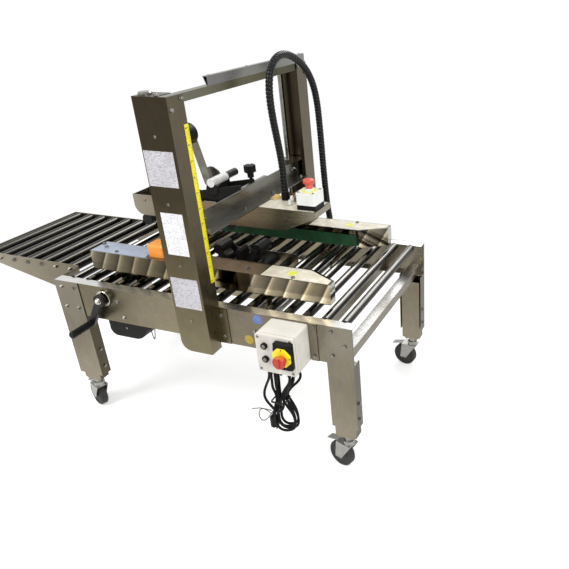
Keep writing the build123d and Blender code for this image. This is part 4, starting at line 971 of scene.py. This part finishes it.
def makeSwitch():
    knob = stamp(turned(switchLook["knob"], 40), [switchLook["place"]])
    handle = insetFace(boxed(*switchLook["handle"], 2.0, 3), "near", 1.4, -0.3)
    piece = finish(joinAll([knob, handle]), "switchHandle", "main_switch", "redMoulding")
    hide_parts("switch_knob")


# Crank: a bright bearing ring on each rail, the nut on the hub, black rings round the grip

crankTurned = {
    "bearingRings": {
        "shape": {"sides": 48, "rings": [(30, 0), (30, 1.4), (28.8, 2.4), (25, 2.4), (24.2, 1.6)]},
        "places": bothSides([(-122, -372, 543, "near", 0)]),
        "body": "bed", "finish": "brightSteel", "slot": "polished"},
    "crankNut": {
        "shape": {"sides": 6, "rings": [(13, 0), (13, 1.2), (10.5, 1.6), (10.5, 7.5), (9.5, 8.5), (5.2, 8.5),
                                        (5.2, 11), (4.4, 11.6)]},
        "places": [(-122, -396, 543, "near", 17)],
        "body": "width_crank", "finish": "brightSteel", "slot": "polished"},
    "gripRings": {
        "shape": {"sides": 32, "rings": [(13.2, 0), (13.6, 1.0), (13.6, 4.0), (13.1, 5.0)]},
        "places": [(-185.6, y, 441.2, "near", 0) for y in (-402, -420, -438, -456, -474)],
        "body": "width_crank", "finish": "blackPlastic", "slot": "black_plastic"},
}


# Head: white glands beside the stop box, a bright upright strip, the white rail on the near tape
# plate and the reel's brake disc

headTurned = {
    "paleGlands": {
        "shape": {"sides": 20, "rings": [
            (7.5, 0), (7.5, 5), (6.4, 6), (6.4, 10), (5.6, 14), (4.0, 17), (3.2, 17)]},
        "places": [(480, 11, 848, "up", 0), (480, -5, 838, "up", 9)],
        "finish": "whiteMoulding", "slot": "white_plastic"},
    "reelBrakeDisc": {
        "shape": {"sides": 32, "rings": [(26, 0), (26, 2), (24, 3), (12, 3), (10, 2.2), (6, 2.2)]},
        "places": [(184, -46, 880, "near", 0)], "finish": "blackPlastic", "slot": "black_plastic"},
}
headParts = {
    "uprightStrip": {"boxes": [((424, 46, 836), (432, 49, 872))], "bevel": (0.8, 2),
                     "inset": ("right", 1.2, -0.4), "finish": "brightSteel", "slot": "stainless"},
    "plateRail": {"boxes": [((136, -49, 826), (192, -46, 833))], "bevel": (1.0, 2),
                  "inset": ("near", 1.5, -0.5), "finish": "whiteMoulding", "slot": "white_plastic"},
}


# Belts: upright grip ribs that stand off the face, one strip after another

ribs = {"from": -176, "to": 606, "pitch": 12, "width": 5, "proud": 0.6, "edge": 0.25, "bottom": 611,
        "top": 655, "face": 197}


def makeRibs():
    for side, sign in (("near", -1), ("far", 1)):
        y0, y1 = sorted((sign * ribs["face"], sign * (ribs["face"] - ribs["proud"])))
        strips = [boxed((x, y0, ribs["bottom"]), (x + ribs["width"], y1, ribs["top"]), ribs["edge"], 1)
                  for x in range(ribs["from"], ribs["to"], ribs["pitch"])]
        finish(joinAll(strips), side + "BeltRibs", side + "_drive", "beltRubber")


# Wires: the bent hanger under the rail and the tie round the hank with its two tails

wireRadius = 1.6
wires = {
    "railHanger": {"finish": "blackPlastic", "points": [
        (48, -352, 447), (49, -352, 430), (52, -352, 404), (56, -352, 390), (61, -352, 402), (66, -352, 428),
        (69, -352, 447)]},
    "tieTail": {"finish": "tieGrey", "points": [
        (493, -424, 235), (512, -425, 243), (534, -426, 250), (562, -432, 252), (584, -439, 244)]},
    "tieLoop": {"finish": "tieGrey", "points": [
        (584, -440, 262), (560, -434, 258), (534, -430, 250), (522, -428, 230), (522, -428, 208),
        (533, -428, 197), (552, -430, 208), (572, -436, 236), (590, -440, 262)]},
}
tieBand = {"half": 26, "front": -443, "back": -392, "bottom": 294, "top": 306, "wall": 1.6, "spare": 14}


def makeWires():
    for name, look in wires.items():
        line = routeLine(routePoints(look["points"]), 8)
        piece = tubeAlong(name, line, lambda reach, angle: wireRadius * mm, 10)
        finish(piece, name, "bed", look["finish"], 60)


def makeTie():  # the strap round the hank's waist: a rounded block with its inside cut out
    left = lead["waistX"] - tieBand["half"]
    right = lead["waistX"] + tieBand["half"]
    wall = tieBand["wall"]
    band = boxed((left, tieBand["front"], tieBand["bottom"]), (right, tieBand["back"], tieBand["top"]), 9, 5)
    inner = boxed((left + wall, tieBand["front"] + wall, tieBand["bottom"] - tieBand["spare"]),
                  (right - wall, tieBand["back"] - wall, tieBand["top"] + tieBand["spare"]), 7, 5)
    makeActive(band)
    cut = band.modifiers.new("inside", "BOOLEAN")
    cut.operation = "DIFFERENCE"
    cut.object = inner
    cut.solver = "EXACT"
    bpy.ops.object.modifier_apply(modifier="inside")
    bpy.data.objects.remove(inner)
    finish(band, "hankTie", "bed", "blackPlastic")


makeStop()
makeBoxed(boxParts, body="bed")
makeTurned(boxTurned, body="bed")
makeSwitch()
makeTurned(crankTurned)
makeTurned(headTurned, body="head")
makeBoxed(headParts, body="head")
makeRibs()
makeWires()
makeTie()
print("details")


# Stage, light and camera

view = {
    "place": (1.58475, -1.8286, 1.557),
    "azimuth": 21.403,
    "elevation": 26.278,
    "roll": -1.811,
    "lens": 39.18,
    "shiftX": -0.185,
}


def makeCamera():
    camera = newObject("camera", bpy.data.cameras.new("camera"))
    camera.data.lens = view["lens"]
    camera.data.shift_x = view["shiftX"]
    camera.data.clip_start = 0.05
    turn = Euler((math.radians(90 - view["elevation"]), 0, math.radians(view["azimuth"]))).to_matrix()
    turn = turn @ Matrix.Rotation(math.radians(view["roll"]), 3, "Z")
    camera.matrix_world = Matrix.Translation(view["place"]) @ turn.to_4x4()
    bpy.context.scene.camera = camera


def seenRay(tree):  # 1 where the camera, or a gloss or glass ray, looks
    path = addNode(tree, "LightPath").outputs
    seen = addNode(tree, "Math", {0: path["Is Camera Ray"], 1: path["Is Glossy Ray"]}, operation="MAXIMUM")
    return addNode(tree, "Math", {0: seen, 1: path["Is Transmission Ray"]}, operation="MAXIMUM")


stageLook = {"near": 0.5, "far": 1.7, "lift": 0.36, "size": 40, "colour": "#eeeeed"}


def makeStage():  # a pale floor that keeps the shadow near the object and goes white further out
    deselectAll()
    bpy.ops.mesh.primitive_plane_add(size=stageLook["size"], location=(0, 0, 0))
    floor = bpy.context.object
    floor.name = "floor"
    material, tree, shader, place = newMaterial("paleFloor")
    feed(tree, shader, {"Base Color": hexColour(stageLook["colour"]), "Roughness": 0.9})
    seen = seenRay(tree)
    away = addNode(tree, "VectorMath", {0: place}, operation="LENGTH").outputs["Value"]
    fade = addNode(tree, "MapRange", {0: away, 1: stageLook["near"], 2: stageLook["far"]},
                   interpolation_type="SMOOTHSTEP")
    fadeSeen = addNode(tree, "Math", {0: fade, 1: seen}, operation="MULTIPLY")
    lift = addNode(tree, "Math", {0: seen, 1: stageLook["lift"]}, operation="MULTIPLY")
    glow = addNode(tree, "Emission", {"Color": (1, 1, 1, 1), "Strength": lift})
    white = addNode(tree, "Emission", {"Color": (1, 1, 1, 1), "Strength": 1.0})
    lifted = addNode(tree, "AddShader", {0: shader, 1: glow})
    mixed = addNode(tree, "MixShader", {0: fadeSeen, 1: lifted, 2: white})
    feed(tree, next(node for node in tree.nodes if node.type == "OUTPUT_MATERIAL"), {"Surface": mixed})
    floor.data.materials.append(material)


lampLooks = {
    "key": {"place": (-1.2, -2.6, 3.4), "size": 1.8, "watts": 90},
    "fill": {"place": (2.8, -1.6, 2.2), "size": 2.2, "watts": 45},
    "back": {"place": (0.4, 3.0, 3.2), "size": 2.0, "watts": 60},
}


def makeLamps():
    target = Vector((0, 0, 0.7))
    for name, look in lampLooks.items():
        lamp = newObject(name, bpy.data.lights.new(name, "AREA"))
        lamp.data.size = look["size"]
        lamp.data.energy = look["watts"]
        lamp.location = look["place"]
        lamp.rotation_euler = (target - lamp.location).to_track_quat("-Z", "Y").to_euler()


def makeWorld():
    world = bpy.data.worlds.new("studio")
    bpy.context.scene.world = world
    world.use_nodes = True
    tree = world.node_tree
    tree.nodes.clear()
    strength = addNode(tree, "MapRange", {0: seenRay(tree), 3: 0.75, 4: 1.0})
    background = addNode(tree, "Background", {"Color": (1, 1, 1, 1), "Strength": strength})
    addNode(tree, "OutputWorld", {"Surface": background})


makeStage()
makeLamps()
makeWorld()
makeCamera()
bpy.context.scene.view_settings.view_transform = "Standard"
print("stage")
